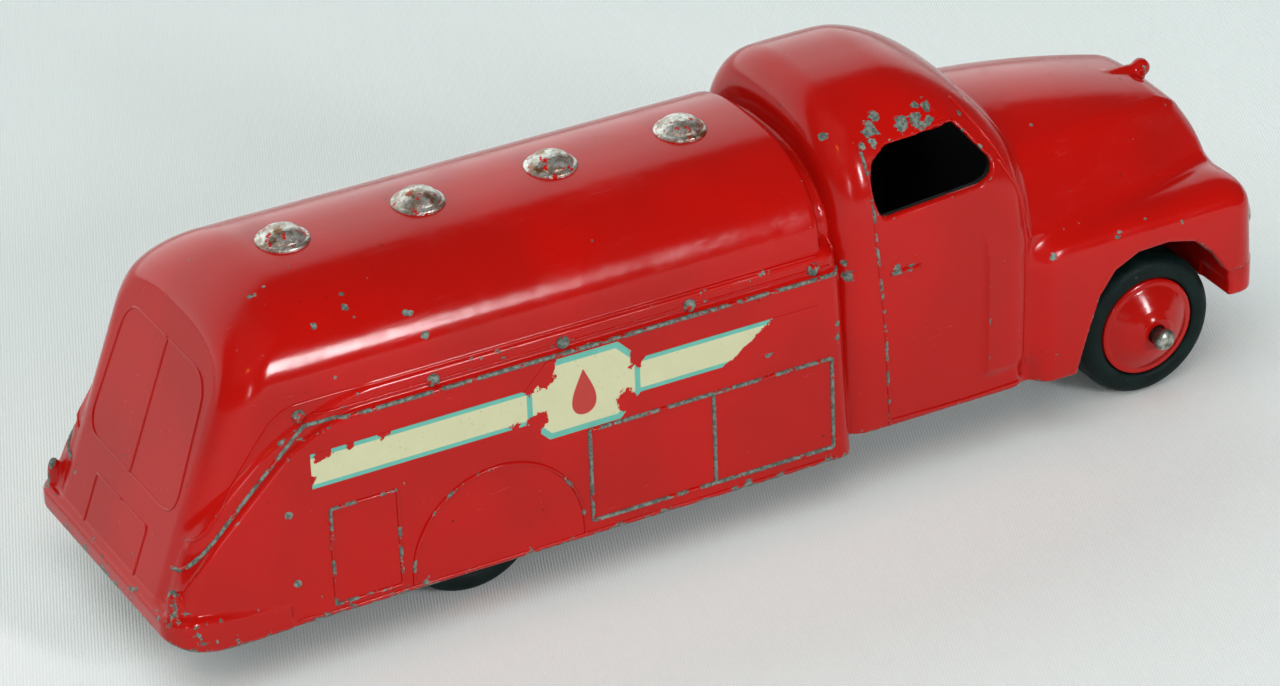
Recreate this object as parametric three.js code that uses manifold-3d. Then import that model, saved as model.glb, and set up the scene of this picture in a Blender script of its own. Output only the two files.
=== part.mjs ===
// A die-cast toy tanker truck: one hollow body casting (tank, cab, bonnet and wings), a folded tinplate
// baseplate, two steel axles, four cast wheel hubs with rubber tyres, and a transfer on each side.
// Millimetres. +X is the front of the truck, +Y its left side, +Z up. The origin is on the ground,
// under the middle of the truck.
import * as THREE from "three";
import { mergeVertices } from "three/addons/utils/BufferGeometryUtils.js";
import Module from "manifold-3d";

const wasm = await Module();
wasm.setup();

// ---------- driving dimensions ----------
const LENGTH = 112;
const REAR = -LENGTH / 2;
const FRONT = LENGTH / 2;
const WALL = 1.2; // thickness of the casting

// The back leans forward above the lip, and lean is how far it goes forward for each mm of height.
const BACK = { x: -55.4, z: 8.65, lean: 0.37, cornerR: 3.6, topR: 6.5 };
const TANK = { halfWidth: 12.5, shoulder: 25.75, crown: 34.3, power: 2.35, front: 9.1 };
// The skirts are wider than the tank, with a shoulder ledge that turns down a diagonal to the back corner.
const SKIRT = { bottom: 4.9, heel: -49, halfWidth: 14.04, draft: 0.027, shoulder: 23.85, front: 11.8 };
const SKIRT_R = { rear: 2, front: 1.6 };
const DIAGONAL = { top: -42, foot: 11.9 };
const LIP = { bottom: 6.2, top: 9, fade: -45, cornerR: 2.6 };
const LIP_EAR = { x: -54.3, y: 12.6, z: 9.3, radius: 1.15, height: 2.6 }; // one at each corner of the lip
const NECK = { inset: 1.6, to: 10.9 }; // the groove between tank and cab
const PASSAGE = { back: 9.4, front: 12.7, halfWidth: 12, top: 22 }; // joins the hollows of tank and cab

const CAB = {
  back: 10.3,
  front: 31.6,
  bow: 1.6, // how far the front curves back towards the doors
  halfWidth: 13.3,
  tuck: 0.3, // how much narrower it is at the bottom
  belt: 23.6,
  scuttle: 27.6,
  crown: 38,
  crownX: 18,
  bottom: 6.25,
  power: 2.5,
  cornerR: 3,
};
const SCREEN_TOP = { x: 27.6, z: 35 };
const HOOD = { back: 24, level: 30, front: 54.8, halfWidth: 9.2, base: 20, crown: 30.9, power: 2.1 };
const HOOD_FOOT = 3; // how much wider it is at its foot
const NOSE = { x: 51, z: 26.4, halfWidth: 4 }; // the tip of the bonnet
const WING = { back: 30.9, front: 55.2, halfWidth: 14.2, inner: 7.5, crown: 21.9, bottom: 6.3 };
const WING_R = { rear: 1.2, front: 3.5, edge: 4.5 };
const BUMPER = { bottom: 8.7, top: 12.3, halfWidth: 12.9, depth: 3.4, cornerR: 1.2 };
const HEADLAMP = { x: 54.2, y: 10.6, z: 16.2, radius: 1.9, depth: 1.3 };
const MASCOT = { x: 50.6, z: 27.4, radius: 0.9 }; // the small knob at the tip of the bonnet

const WHEEL = { radius: 7.06, width: 4.4, hubR: 4.84, grooveR: 4.1, boreR: 0.88, dome: 1.7, capR: 1.5 };
const TYRE = { clearance: 0.15, bulge: 0.15, shoulder: 1.2 };
const AXLE = { radius: 0.8, headR: 1.05, headLength: 0.9, domeHeight: 0.3 };
const FRONT_AXLE = { x: 44.9, rim: 11.2, end: 14.6 };
const REAR_AXLE = { x: -24.9, rim: 9.8, end: 12.5 };

const PLATE = { bottom: 5.3, thickness: 0.5, halfWidth: 11.2, waist: 4.9, wheelGap: 8.2 };
const PLATE_ENDS = { rear: -47, shoulder: 28, front: 50 };
const EAR = { inner: 4.4, thickness: 0.5, halfLength: 2.4, top: 9.6, hole: 0.88 };
const POSTS = [{ x: -40, top: 33.7 }, { x: 34.3, top: 29.8 }]; // top is inside the roof
const POST = { radius: 1.9, spigotR: 1.0, headR: 1.7, headHeight: 0.35 };
const FIT = 0.1; // between the plate and what it is riveted to

const CAP = { first: -37.07, pitch: 12.995, count: 4, radius: 2.4, height: 0.65, root: 0.8 };
const RIVET = { first: -42.2, pitch: 12.507, count: 5, y: 13.0, z: 24.75, radius: 0.62 };
const TRANSFER = { rear: -41.8, front: 8, bottom: 17.95, top: 21.3, thickness: 0.1, gap: 0.02 };
const BADGE = { x: -15.6, z: 19.7, halfLength: 5.6, halfHeight: 3.8, cut: 2.1 };

const ROUND = 28; // segments round a wheel
const FINE = 24; // segments round a rod, hole or post
const BIG = 60; // longer than any cut has to be
const UNDER = -1; // below the ground, where the hollow inside starts

// ---------- colours ----------
const paint = (color, roughness, metalness = 0) =>
  new THREE.MeshStandardMaterial({ color, roughness, metalness });
const redEnamel = paint(0xb81410, 0.25);
const blackEnamel = paint(0x16181a, 0.35);
const rubber = paint(0x161d1b, 0.8);
const steel = paint(0x8d9089, 0.35, 1);
const transferFilm = paint(0xd9d8a8, 0.6);

// ---------- solids ----------
// A closed geometry as a manifold-3d solid.
function solid(geometry) {
  geometry.deleteAttribute("normal");
  geometry.deleteAttribute("uv");
  const merged = mergeVertices(geometry, 1e-4);
  const mesh = new wasm.Mesh({
    numProp: 3,
    vertProperties: merged.attributes.position.array,
    triVerts: new Uint32Array(merged.index.array),
  });
  return new wasm.Manifold(mesh);
}

// A manifold-3d solid as a three.js geometry.
function geometryOf(made) {
  const { vertProperties, triVerts } = made.getMesh();
  return new THREE.BufferGeometry()
    .setAttribute("position", new THREE.BufferAttribute(vertProperties, 3))
    .setIndex(new THREE.BufferAttribute(triVerts, 1));
}

const extrude = (shape, depth) =>
  new THREE.ExtrudeGeometry(shape, { depth, bevelEnabled: false, curveSegments: 8 });

// A side view, drawn in X and Z, extruded across the truck from y0 to y1.
const across = (shape, y0 = -BIG, y1 = BIG) =>
  solid(extrude(shape, y1 - y0).rotateX(Math.PI / 2).translate(0, y1, 0));

// A cross-section, drawn in Y and Z, extruded along the truck from x0 to x1.
function along(shape, x0, x1) {
  const turn = new THREE.Matrix4().set(0, 0, 1, x0, 1, 0, 0, 0, 0, 1, 0, 0, 0, 0, 0, 1);
  return solid(extrude(shape, x1 - x0).applyMatrix4(turn));
}

// A plan, drawn in X and Y, extruded upwards from z0 to z1. It moves forward by lean for each mm above
// leanFrom.
function upward(shape, z0 = -BIG, z1 = BIG, lean = 0, leanFrom = 0) {
  const shear = new THREE.Matrix4().set(1, 0, lean, -lean * leanFrom, 0, 1, 0, 0, 0, 0, 1, 0, 0, 0, 0, 1);
  return solid(extrude(shape, z1 - z0).translate(0, 0, z0).applyMatrix4(shear));
}

const vectors = (points) => points.map(([u, v]) => new THREE.Vector2(u, v));
const outline = (points) => new THREE.Shape(vectors(points));

// A profile of radii and heights turned about the Y axis.
const turned = (profile, segments = ROUND) => new THREE.LatheGeometry(vectors(profile), segments);

// A rectangle whose corners are arcs: radii are for the low-u and the high-u ends.
function roundedBox(u0, v0, u1, v1, rLow, rHigh) {
  const shape = new THREE.Shape();
  shape.moveTo(u0 + rLow, v0);
  shape.lineTo(u1 - rHigh, v0);
  shape.absarc(u1 - rHigh, v0 + rHigh, rHigh, -Math.PI / 2, 0);
  shape.absarc(u1 - rHigh, v1 - rHigh, rHigh, 0, Math.PI / 2);
  shape.absarc(u0 + rLow, v1 - rLow, rLow, Math.PI / 2, Math.PI);
  shape.absarc(u0 + rLow, v0 + rLow, rLow, Math.PI, Math.PI * 1.5);
  return shape;
}

// Points of a superellipse arch, from +halfWidth over the crown to -halfWidth.
function arch(halfWidth, base, crown, power, steps = 20) {
  return Array.from({ length: steps + 1 }, (_, i) => {
    const t = (i / steps) * Math.PI;
    const y = Math.sign(Math.cos(t)) * Math.abs(Math.cos(t)) ** (2 / power);
    return [halfWidth * y, base + (crown - base) * Math.sin(t) ** (2 / power)];
  });
}

// An arch on upright legs that are footHalf apart at the bottom.
const archway = (halfWidth, base, crown, power, low, footHalf = halfWidth) =>
  outline([[footHalf, low], ...arch(halfWidth, base, crown, power), [-footHalf, low]]);

const cylinderAcross = (x, z, radius, y0, y1) =>
  solid(new THREE.CylinderGeometry(radius, radius, y1 - y0, FINE).translate(x, (y0 + y1) / 2, z));

function cylinderUp(x, radius, z0, z1) {
  const made = new THREE.CylinderGeometry(radius, radius, z1 - z0, FINE);
  return solid(made.rotateX(Math.PI / 2).translate(x, 0, (z0 + z1) / 2));
}

// A squashed ball, its three radii given.
const knob = (x, y, z, rx, ry, rz) =>
  solid(new THREE.SphereGeometry(1, 16, 10).scale(rx, ry, rz).translate(x, y, z));

const bothSides = (make) => make(1).add(make(-1));

// The back of the truck at height z: it leans forward above the lip and is upright below it.
const backAt = (z) => BACK.x + BACK.lean * Math.max(z - BACK.z, 0);

// ---------- body casting ----------
// Each block is a side view, a cross-section and a plan met together. With an inset it is the hollow inside
// that block, which goes on below the ground.
const meet = (side, section, plan) => section.intersect(side).intersect(plan);

function tankBlock(inset) {
  const halfWidth = TANK.halfWidth - inset;
  const crown = TANK.crown - inset;
  const low = inset ? UNDER : SKIRT.bottom;
  const side = new THREE.Shape();
  side.moveTo(BACK.x + inset, inset ? low : LIP.bottom);
  side.lineTo(SKIRT.heel, low);
  side.lineTo(TANK.front - inset, low);
  side.lineTo(TANK.front - inset, crown + 1);
  side.lineTo(backAt(crown) + inset + BACK.topR, crown);
  side.quadraticCurveTo(backAt(crown) + inset, crown, backAt(crown - BACK.topR) + inset, crown - BACK.topR);
  side.lineTo(BACK.x + inset, BACK.z);
  const plan = roundedBox(BACK.x + inset, -halfWidth, BIG, halfWidth, BACK.cornerR - inset / 2, 1);
  const section = archway(halfWidth, TANK.shoulder, crown, TANK.power, low);
  return meet(across(side), along(section, REAR, TANK.front), upward(plan, UNDER, BIG, BACK.lean, BACK.z));
}

function skirtBlock(inset) {
  const low = inset ? UNDER : SKIRT.bottom;
  const wide = (z) => SKIRT.halfWidth - inset - SKIRT.draft * (z - SKIRT.bottom);
  const shoulder = SKIRT.shoulder - inset;
  const ledge = TANK.shoulder - inset;
  const front = SKIRT.front - inset;
  const back = BACK.x + inset;
  const half = [[wide(low), low], [wide(shoulder), shoulder], [TANK.halfWidth - inset, ledge]];
  const section = outline([...half, ...half.map(([y, z]) => [-y, z]).reverse()]);
  const side = outline([
    [back, inset ? low : LIP.bottom],
    [SKIRT.heel, low],
    [front, low],
    [front, ledge],
    [DIAGONAL.top + inset, ledge],
    [backAt(DIAGONAL.foot) + inset, DIAGONAL.foot - inset],
    [back, BACK.z],
  ]);
  const plan = roundedBox(back, -wide(low), front, wide(low), SKIRT_R.rear, SKIRT_R.front);
  return meet(across(side), along(section, REAR, front), upward(plan, UNDER));
}

// The rolled lip round the bottom of the back, fading out along the skirts, with an ear at each corner.
function rearLip() {
  const half = SKIRT.halfWidth + 0.2;
  const r = LIP.cornerR;
  const plan = new THREE.Shape();
  plan.moveTo(LIP.fade, -SKIRT.halfWidth + 0.1);
  plan.lineTo(LIP.fade, SKIRT.halfWidth - 0.1);
  plan.absarc(REAR + r, half - r, r, Math.PI / 2, Math.PI);
  plan.absarc(REAR + r, r - half, r, Math.PI, Math.PI * 1.5);
  const { x, y, z, radius, height } = LIP_EAR;
  const ears = bothSides((side) => knob(x, side * y, z, radius, radius, height));
  return upward(plan, LIP.bottom, LIP.top).add(ears);
}

function neck(inset) {
  const halfWidth = TANK.halfWidth - NECK.inset - inset;
  const crown = TANK.crown - NECK.inset - inset;
  const section = archway(halfWidth, TANK.shoulder, crown, TANK.power, inset ? UNDER : SKIRT.bottom + 1);
  return along(section, TANK.front - inset - 1, NECK.to + inset);
}

function cabBlock(inset) {
  const low = inset ? UNDER : CAB.bottom;
  const halfWidth = CAB.halfWidth - inset;
  const crown = CAB.crown - inset;
  const back = CAB.back + inset;
  const front = CAB.front - inset;
  const side = new THREE.Shape();
  side.moveTo(back, low);
  side.lineTo(front, low);
  side.lineTo(front, CAB.scuttle - inset);
  side.quadraticCurveTo(front, CAB.scuttle + 3.4, SCREEN_TOP.x - inset, SCREEN_TOP.z - inset);
  side.quadraticCurveTo((SCREEN_TOP.x + CAB.crownX) / 2 + 1, crown, CAB.crownX, crown);
  side.quadraticCurveTo(back, crown, back, CAB.scuttle);
  const r = CAB.cornerR;
  const shoulder = front - CAB.bow;
  const plan = new THREE.Shape();
  plan.moveTo(back, r - halfWidth);
  plan.quadraticCurveTo(back, -halfWidth, back + r, -halfWidth);
  plan.lineTo(shoulder, -halfWidth);
  plan.quadraticCurveTo(front, -halfWidth * 0.6, front, 0);
  plan.quadraticCurveTo(front, halfWidth * 0.6, shoulder, halfWidth);
  plan.lineTo(back + r, halfWidth);
  plan.quadraticCurveTo(back, halfWidth, back, halfWidth - r);
  const section = archway(halfWidth, CAB.belt, crown, CAB.power, low, halfWidth - CAB.tuck);
  return meet(across(side), along(section, CAB.back, CAB.front), upward(plan, UNDER));
}

// The bonnet, which narrows and falls towards the nose. Its hollow starts ahead of the cab's front wall.
function hoodBlock(inset) {
  const low = inset ? UNDER : WING.bottom + 1;
  const halfWidth = HOOD.halfWidth - inset;
  const foot = halfWidth + HOOD_FOOT;
  const crown = HOOD.crown - inset;
  const back = inset ? WING.back + inset : HOOD.back;
  const front = HOOD.front - inset;
  const side = new THREE.Shape();
  side.moveTo(back, low);
  side.lineTo(front, low);
  side.lineTo(front, HOOD.base - 2);
  side.quadraticCurveTo(front - 1, HOOD.base + 2, NOSE.x - inset, NOSE.z - inset);
  const level = Math.max(HOOD.level, back + inset);
  side.quadraticCurveTo((NOSE.x + back) / 2 + 4, NOSE.z + 3 - inset, level, crown);
  side.lineTo(back, crown);
  const nose = NOSE.halfWidth - inset;
  const plan = new THREE.Shape();
  plan.moveTo(HOOD.back, -foot);
  plan.lineTo(CAB.front, 2 - foot);
  plan.quadraticCurveTo(front - 6, -nose - 3.6, front, -nose);
  plan.lineTo(front, nose);
  plan.quadraticCurveTo(front - 6, nose + 3.6, CAB.front, foot - 2);
  plan.lineTo(HOOD.back, foot);
  const legs = [[foot, low], [foot, HOOD.base]];
  const mirrored = legs.map(([y, z]) => [-y, z]).reverse();
  const section = outline([...legs, ...arch(halfWidth, HOOD.base, crown, HOOD.power), ...mirrored]);
  return meet(across(side), along(section, HOOD.back, HOOD.front), upward(plan, UNDER));
}

// The front wings and the grille panel between them, as one block across the truck.
function wingBlock(inset) {
  const low = inset ? UNDER : WING.bottom;
  const nose = inset ? low : BUMPER.bottom;
  const halfWidth = WING.halfWidth - inset;
  const crown = WING.crown - inset;
  const back = WING.back + inset;
  const front = WING.front - inset;
  const half = [
    [halfWidth, low],
    [halfWidth, crown - WING_R.edge],
    [halfWidth - 0.7, crown - 2],
    [halfWidth - 2.3, crown - 0.4],
    [WING.inner, crown],
  ];
  const section = outline([...half, ...half.map(([y, z]) => [-y, z]).reverse()]);
  const side = new THREE.Shape();
  side.moveTo(back, low);
  side.lineTo(back + 4, low);
  side.lineTo(back + 9, nose);
  side.lineTo(front, nose);
  side.lineTo(front, crown - 5);
  side.quadraticCurveTo(front, crown - 1, front - WING_R.front, crown);
  side.lineTo(back + 2, crown);
  side.quadraticCurveTo(back, crown, back, crown - 4);
  const plan = roundedBox(back, -halfWidth, front, halfWidth, WING_R.rear, WING_R.front);
  return meet(across(side), along(section, WING.back, WING.front), upward(plan, UNDER));
}

// The side view of a front wheel arch, open at the bottom.
function wheelArch() {
  const shape = new THREE.Shape();
  shape.moveTo(35.2, 2);
  shape.lineTo(35.2, 6.5);
  shape.lineTo(37.5, 13.4);
  shape.quadraticCurveTo(38.9, 17.1, 43.2, 17.2);
  shape.quadraticCurveTo(48.8, 17.1, 50.2, 14.4);
  shape.lineTo(52.6, 10.6);
  shape.lineTo(52.6, 2);
  return shape;
}

function sideWindow() {
  const shape = new THREE.Shape();
  shape.moveTo(16.2, 27.7);
  shape.lineTo(24.9, 28.2);
  shape.quadraticCurveTo(26.6, 28.5, 25.8, 29.7);
  shape.lineTo(23.2, 33.1);
  shape.quadraticCurveTo(22.6, 33.6, 21.6, 33.5);
  shape.lineTo(17, 33.3);
  shape.quadraticCurveTo(14.6, 33, 14.6, 30.5);
  shape.quadraticCurveTo(14.7, 27.7, 16.2, 27.7);
  return shape;
}

// Half of the divided windscreen, as seen from the front.
function windscreenPane(side) {
  const pane = [[0.7, 30.9], [8.6, 30.6], [9.6, 31.6], [8.2, 34.2], [5, 35.1], [0.7, 35.3]];
  return along(outline(pane.map(([y, z]) => [side * y, z])), HOOD.back, FRONT);
}

function fillerCap(x) {
  const { radius, height, root } = CAP;
  const profile = [
    [0, -root],
    [radius, -root],
    [radius, height * 0.25],
    [radius * 0.8, height * 0.8],
    [0, height],
  ];
  return solid(turned(profile, FINE).rotateX(Math.PI / 2).translate(x, 0, TANK.crown));
}

function rivetHead(x, side) {
  return knob(x, side * RIVET.y, RIVET.z, RIVET.radius, RIVET.radius, RIVET.radius);
}

// What stands out of the front: the bumper, the headlamps and the knob on the bonnet.
function noseTrim() {
  const { bottom, top, halfWidth, depth, cornerR } = BUMPER;
  const bar = upward(roundedBox(FRONT - depth, -halfWidth, FRONT, halfWidth, 0.5, cornerR), bottom, top);
  const { x, y, z, radius } = HEADLAMP;
  return bar
    .add(bothSides((side) => knob(x, side * y, z, HEADLAMP.depth, radius, radius)))
    .add(knob(MASCOT.x, 0, MASCOT.z, MASCOT.radius * 1.4, MASCOT.radius * 0.8, MASCOT.radius));
}

// A post from the roof down to the baseplate, its end spun over under the plate.
function rivetPost({ x, top }) {
  const plateTop = PLATE.bottom + PLATE.thickness + FIT;
  const plateUnder = PLATE.bottom - FIT;
  return cylinderUp(x, POST.radius, plateTop, top)
    .add(cylinderUp(x, POST.spigotR, plateUnder - POST.headHeight / 2, plateTop + 1))
    .add(cylinderUp(x, POST.headR, plateUnder - POST.headHeight, plateUnder));
}

function bodyCasting() {
  const blocks = [tankBlock, skirtBlock, neck, cabBlock, hoodBlock, wingBlock];
  const outsides = [...blocks.map((block) => block(0)), rearLip(), noseTrim()];
  for (let i = 0; i < CAP.count; i++) outsides.push(fillerCap(CAP.first + i * CAP.pitch));
  for (let i = 0; i < RIVET.count; i++) {
    outsides.push(bothSides((side) => rivetHead(RIVET.first + i * RIVET.pitch, side)));
  }
  const { back, front, halfWidth, top } = PASSAGE;
  const passage = upward(roundedBox(back, -halfWidth, front, halfWidth, 0.1, 0.1), UNDER, top);
  const hollows = [...blocks.map((block) => block(WALL)), passage];
  const openings = [across(wheelArch()), across(sideWindow()), bothSides(windscreenPane)];
  let body = outsides.reduce((made, part) => made.add(part));
  body = [...hollows, ...openings].reduce((made, part) => made.subtract(part), body);
  return POSTS.reduce((made, post) => made.add(rivetPost(post)), body);
}

// ---------- baseplate ----------
// A flat plate with a notch for each wheel and a folded-up ear on each side of each axle.
function baseplate() {
  const { bottom, thickness, halfWidth, waist, wheelGap } = PLATE;
  const stations = [
    [PLATE_ENDS.rear, halfWidth],
    [REAR_AXLE.x - wheelGap, halfWidth],
    [REAR_AXLE.x - wheelGap, waist],
    [REAR_AXLE.x + wheelGap, waist],
    [REAR_AXLE.x + wheelGap, halfWidth],
    [PLATE_ENDS.shoulder, halfWidth],
    [FRONT_AXLE.x - wheelGap, waist],
    [PLATE_ENDS.front, waist],
  ];
  const edge = [...stations.map(([x, y]) => [x, -y]), ...stations.reverse()];
  let plate = upward(outline(edge), bottom, bottom + thickness);
  for (const axle of [REAR_AXLE, FRONT_AXLE]) {
    const { inner, halfLength, top, hole } = EAR;
    const ear = roundedBox(axle.x - halfLength, bottom, axle.x + halfLength, top, 0.05, 0.05);
    plate = plate.add(across(ear, inner, inner + EAR.thickness));
    plate = plate.add(across(ear, -inner - EAR.thickness, -inner));
    plate = plate.subtract(cylinderAcross(axle.x, WHEEL.radius, hole, -halfWidth, halfWidth));
  }
  const holes = POSTS.map(({ x }) => cylinderUp(x, POST.spigotR + 2 * FIT, 0, bottom + 2 * thickness));
  return holes.reduce((made, hole) => made.subtract(hole), plate);
}

// ---------- wheels and axles ----------
// A hub on the Y axis, its outer rim in the plane y = 0 and its domed face towards +Y.
function hub() {
  const { hubR, grooveR, boreR, width, dome, capR } = WHEEL;
  return turned([
    [boreR, -width],
    [hubR, -width],
    [hubR, -width + 0.7],
    [grooveR, -width + 0.9],
    [grooveR, -0.8],
    [hubR, -0.6],
    [hubR, -0.1],
    [hubR - 0.5, 0.15],
    [hubR - 1.6, dome * 0.45],
    [capR + 0.4, dome * 0.9],
    [capR, dome],
    [boreR, dome],
    [boreR, -width],
  ]);
}

// The tyre in the hub's groove, with rounded shoulders.
function tyre() {
  const { radius, hubR, grooveR, width } = WHEEL;
  const { clearance, bulge, shoulder } = TYRE;
  const half = [
    [grooveR + clearance, 0.95],
    [hubR + clearance, 0.7],
    [hubR + 2 * clearance, -0.05],
    [radius - shoulder, -bulge],
    [radius - shoulder * 0.3, bulge * 2],
    [radius, shoulder],
  ];
  const outer = half.map(([r, depth]) => [r, -depth]);
  const inner = half.map(([r, depth]) => [r, depth - width]);
  return turned([...inner, ...outer.reverse(), inner[0]]);
}

function axleRod({ end }) {
  const { radius, headR, headLength, domeHeight } = AXLE;
  const half = [
    [0, 0],
    [headR * 0.6, domeHeight * 0.25],
    [headR, domeHeight],
    [headR, headLength],
    [radius, headLength + 0.05],
  ];
  const right = half.map(([r, depth]) => [r, depth - end]);
  const left = half.map(([r, depth]) => [r, end - depth]);
  return turned([...right, ...left.reverse()]);
}

// ---------- transfers ----------
// The printed film along one side: a long band with a cut-cornered badge, lying on the drafted skirt.
function transfer(side) {
  const { rear, front, bottom, top, thickness, gap } = TRANSFER;
  const { x, z, halfLength, halfHeight, cut } = BADGE;
  const upper = [
    [x + halfLength, z + halfHeight - cut],
    [x + halfLength - cut, z + halfHeight],
    [x - halfLength + cut, z + halfHeight],
    [x - halfLength, z + halfHeight - cut],
  ];
  const lower = upper.map(([u, v]) => [u, 2 * z - v]).reverse();
  const band = outline([[rear, bottom], [front, bottom], [front, top], [rear, top]]);
  const film = across(band, 0, thickness).add(across(outline([...lower, ...upper]), 0, thickness));
  const lean = side * SKIRT.draft;
  const seat = side * (SKIRT.halfWidth + gap + SKIRT.draft * SKIRT.bottom) - (side < 0 ? thickness : 0);
  const shear = new THREE.Matrix4().set(1, 0, 0, 0, 0, 1, -lean, seat, 0, 0, 1, 0, 0, 0, 0, 1);
  return geometryOf(film).applyMatrix4(shear);
}

// ---------- assembly ----------
const truck = new THREE.Group();

function place(name, geometry, material, parent = truck) {
  const mesh = new THREE.Mesh(geometry, material);
  mesh.name = name;
  parent.add(mesh);
}

place("body_casting", geometryOf(bodyCasting()), redEnamel);
place("baseplate", geometryOf(baseplate()), blackEnamel);
place("transfer_right", transfer(-1), transferFilm);
place("transfer_left", transfer(1), transferFilm);

for (const [end, axle] of [["front", FRONT_AXLE], ["rear", REAR_AXLE]]) {
  const group = new THREE.Group();
  group.position.set(axle.x, 0, WHEEL.radius);
  truck.add(group);
  place(`${end}_axle`, axleRod(axle), steel, group);
  for (const [label, side] of [["left", 1], ["right", -1]]) {
    const wheel = new THREE.Group();
    wheel.position.y = side * axle.rim;
    wheel.rotation.z = side > 0 ? 0 : Math.PI;
    group.add(wheel);
    place(`${end}_${label}_hub`, hub(), redEnamel, wheel);
    place(`${end}_${label}_tyre`, tyre(), rubber, wheel);
  }
}

export default truck;
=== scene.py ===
"""Looks of a die-cast toy tanker truck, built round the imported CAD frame.

The body casting is modelled as a distance field, a function that gives how far a point is outside the
metal, so that every edge has the soft cast radius that such a toy has. The field is turned into a mesh, and
the raised lines, rivets, caps and grille are added to it. All sizes are in millimetres until mesh_object()
scales them.
"""

import math

import bmesh
import bpy
import numpy as np
from mathutils import Matrix, Vector


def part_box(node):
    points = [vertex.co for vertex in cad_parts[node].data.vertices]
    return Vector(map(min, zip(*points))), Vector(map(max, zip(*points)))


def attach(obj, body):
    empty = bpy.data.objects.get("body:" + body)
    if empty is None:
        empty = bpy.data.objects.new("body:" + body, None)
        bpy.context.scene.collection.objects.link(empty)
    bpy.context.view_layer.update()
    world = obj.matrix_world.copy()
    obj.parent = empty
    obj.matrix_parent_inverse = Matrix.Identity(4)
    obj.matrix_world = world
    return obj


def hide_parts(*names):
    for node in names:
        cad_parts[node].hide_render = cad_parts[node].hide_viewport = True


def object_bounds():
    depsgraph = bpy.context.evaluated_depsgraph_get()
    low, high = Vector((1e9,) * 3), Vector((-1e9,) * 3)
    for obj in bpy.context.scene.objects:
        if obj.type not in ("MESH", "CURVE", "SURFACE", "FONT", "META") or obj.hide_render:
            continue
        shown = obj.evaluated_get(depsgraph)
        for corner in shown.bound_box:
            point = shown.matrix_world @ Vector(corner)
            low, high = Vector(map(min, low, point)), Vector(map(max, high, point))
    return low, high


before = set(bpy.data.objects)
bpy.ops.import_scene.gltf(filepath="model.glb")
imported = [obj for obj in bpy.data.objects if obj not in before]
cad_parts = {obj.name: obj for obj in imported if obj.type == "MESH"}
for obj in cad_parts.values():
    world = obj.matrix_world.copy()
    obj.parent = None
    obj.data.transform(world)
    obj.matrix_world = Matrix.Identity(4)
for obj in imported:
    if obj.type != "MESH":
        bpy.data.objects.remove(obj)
cad_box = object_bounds()

MM = 0.001
REAR, FRONT = cad_box[0].x / MM, cad_box[1].x / MM
WALL = 1.2
BODY_TRIANGLES = 180000

# The sloping back, the tank, the skirts and the lip.
BACK = {"x": -55.4, "z": 8.65, "lean": 0.37, "corner": 3.2, "top_corner": 5.5}
TANK = {"half": 12.5, "shoulder": 25.75, "crown": 34.3, "power": 2.35, "front": 9.1, "bottom": 4.95}
SKIRT = {"half": 14.04, "draft": 0.027, "top": 24.0, "front": 11.4, "corner": 1.5}
BAND = {"half": 13.0, "above": 1.6}  # the step between the skirt's shoulder and the tank
DIAGONAL = {"x": -42.0, "z": 23.2, "slope": 0.917, "corner": 3.0}
LIP = {"half": 14.05, "base": 7.7, "high": 9.0, "flare": 0.55, "fade": (-55.0, -44.6), "corner": 2.6}
EAR = {"at": (-54.75, 12.6, 9.6), "size": (0.65, 0.65, 1.9)}
NECK = {"inset": 1.6, "end": 11.5}

# The cab, the bonnet and the wings.
CAB = {"back": 10.5, "half": 13.3, "belt": 23.6, "crown": 37.97, "power": 2.6, "bottom": 6.25, "bow": 1.6}
ROOF = {"middle": 18, "fall": 0.0045, "from": 30}
SCREEN = {"through": (28.0, 34.1), "normal": (0.814, 0.581)}
HOOD = {
    "back": 26, "start": 30, "half": 14.6, "taper": 0.05, "base": 20.5, "crown": 30.5, "slope": 0.06,
    "fall": 0.0045, "bottom": 9.0,
}
# The shoulder along each side of the bonnet, and the flank below it.
RIDGE = {"start": 32.5, "half": 9.6, "z": 27.8, "taper": 0.18, "sweep": 0.004, "lean": 0.42, "foot": 21.0}
NOSE = {"through": (51.0, 27.3), "normal": (0.85, 0.527), "front": 55.0}
ORNAMENT = {"at": (48.6, 0, 27.45), "size": (3.2, 0.7, 0.75)}
KNOB = {"at": (50.9, 0, 27.6), "size": (0.85, 0.85, 0.9)}
WING = {
    "back": 30.7, "front": 55.3, "half": 14.2, "crown": 22.0, "bottom": 6.3, "nose": 12.3,
    "top_corner": 4.4, "rise": -0.13,
}
BUMPER = {"back": 52.6, "half": 12.95, "low": 8.8, "high": 12.4}
OVERRIDER = {"at": (54.8, 9.4, 11.6), "size": (0.85, 0.8, 1.9)}
ARCH = [
    (35.3, 0), (35.4, 6.75), (36.4, 10.0), (37.7, 13.7), (39.3, 15.9), (41.8, 17.1), (45.1, 17.2),
    (48.0, 16.5), (49.9, 14.9), (51.4, 12.7), (52.7, 10.2), (52.8, 0),
]
SIDE_WINDOW = [
    (15.0, 27.6), (25.2, 28.2), (27.5, 29.1), (23.8, 33.8), (16.6, 33.6), (14.8, 32.6), (14.1, 30.4),
]
SCREEN_PANE = [(0.75, 31.2), (7.2, 31.1), (7.7, 31.7), (6.9, 33.8), (0.75, 34.4)]
POSTS = (-40.0, 34.3)
BULKHEAD = {"x": 31.25, "half": 0.85, "low": 6.3}  # between the cab and the bonnet


# ---------- distance fields ----------
def meet(a, b, r):
    """Where two solids overlap, their edge rounded to radius r."""
    corner = np.hypot(np.maximum(a + r, 0), np.maximum(b + r, 0))
    return np.minimum(np.maximum(a, b), -r) + corner


def fuse(a, b, r):
    """Two solids joined, the inside corner between them filled to radius r."""
    return -meet(-a, -b, r)


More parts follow.
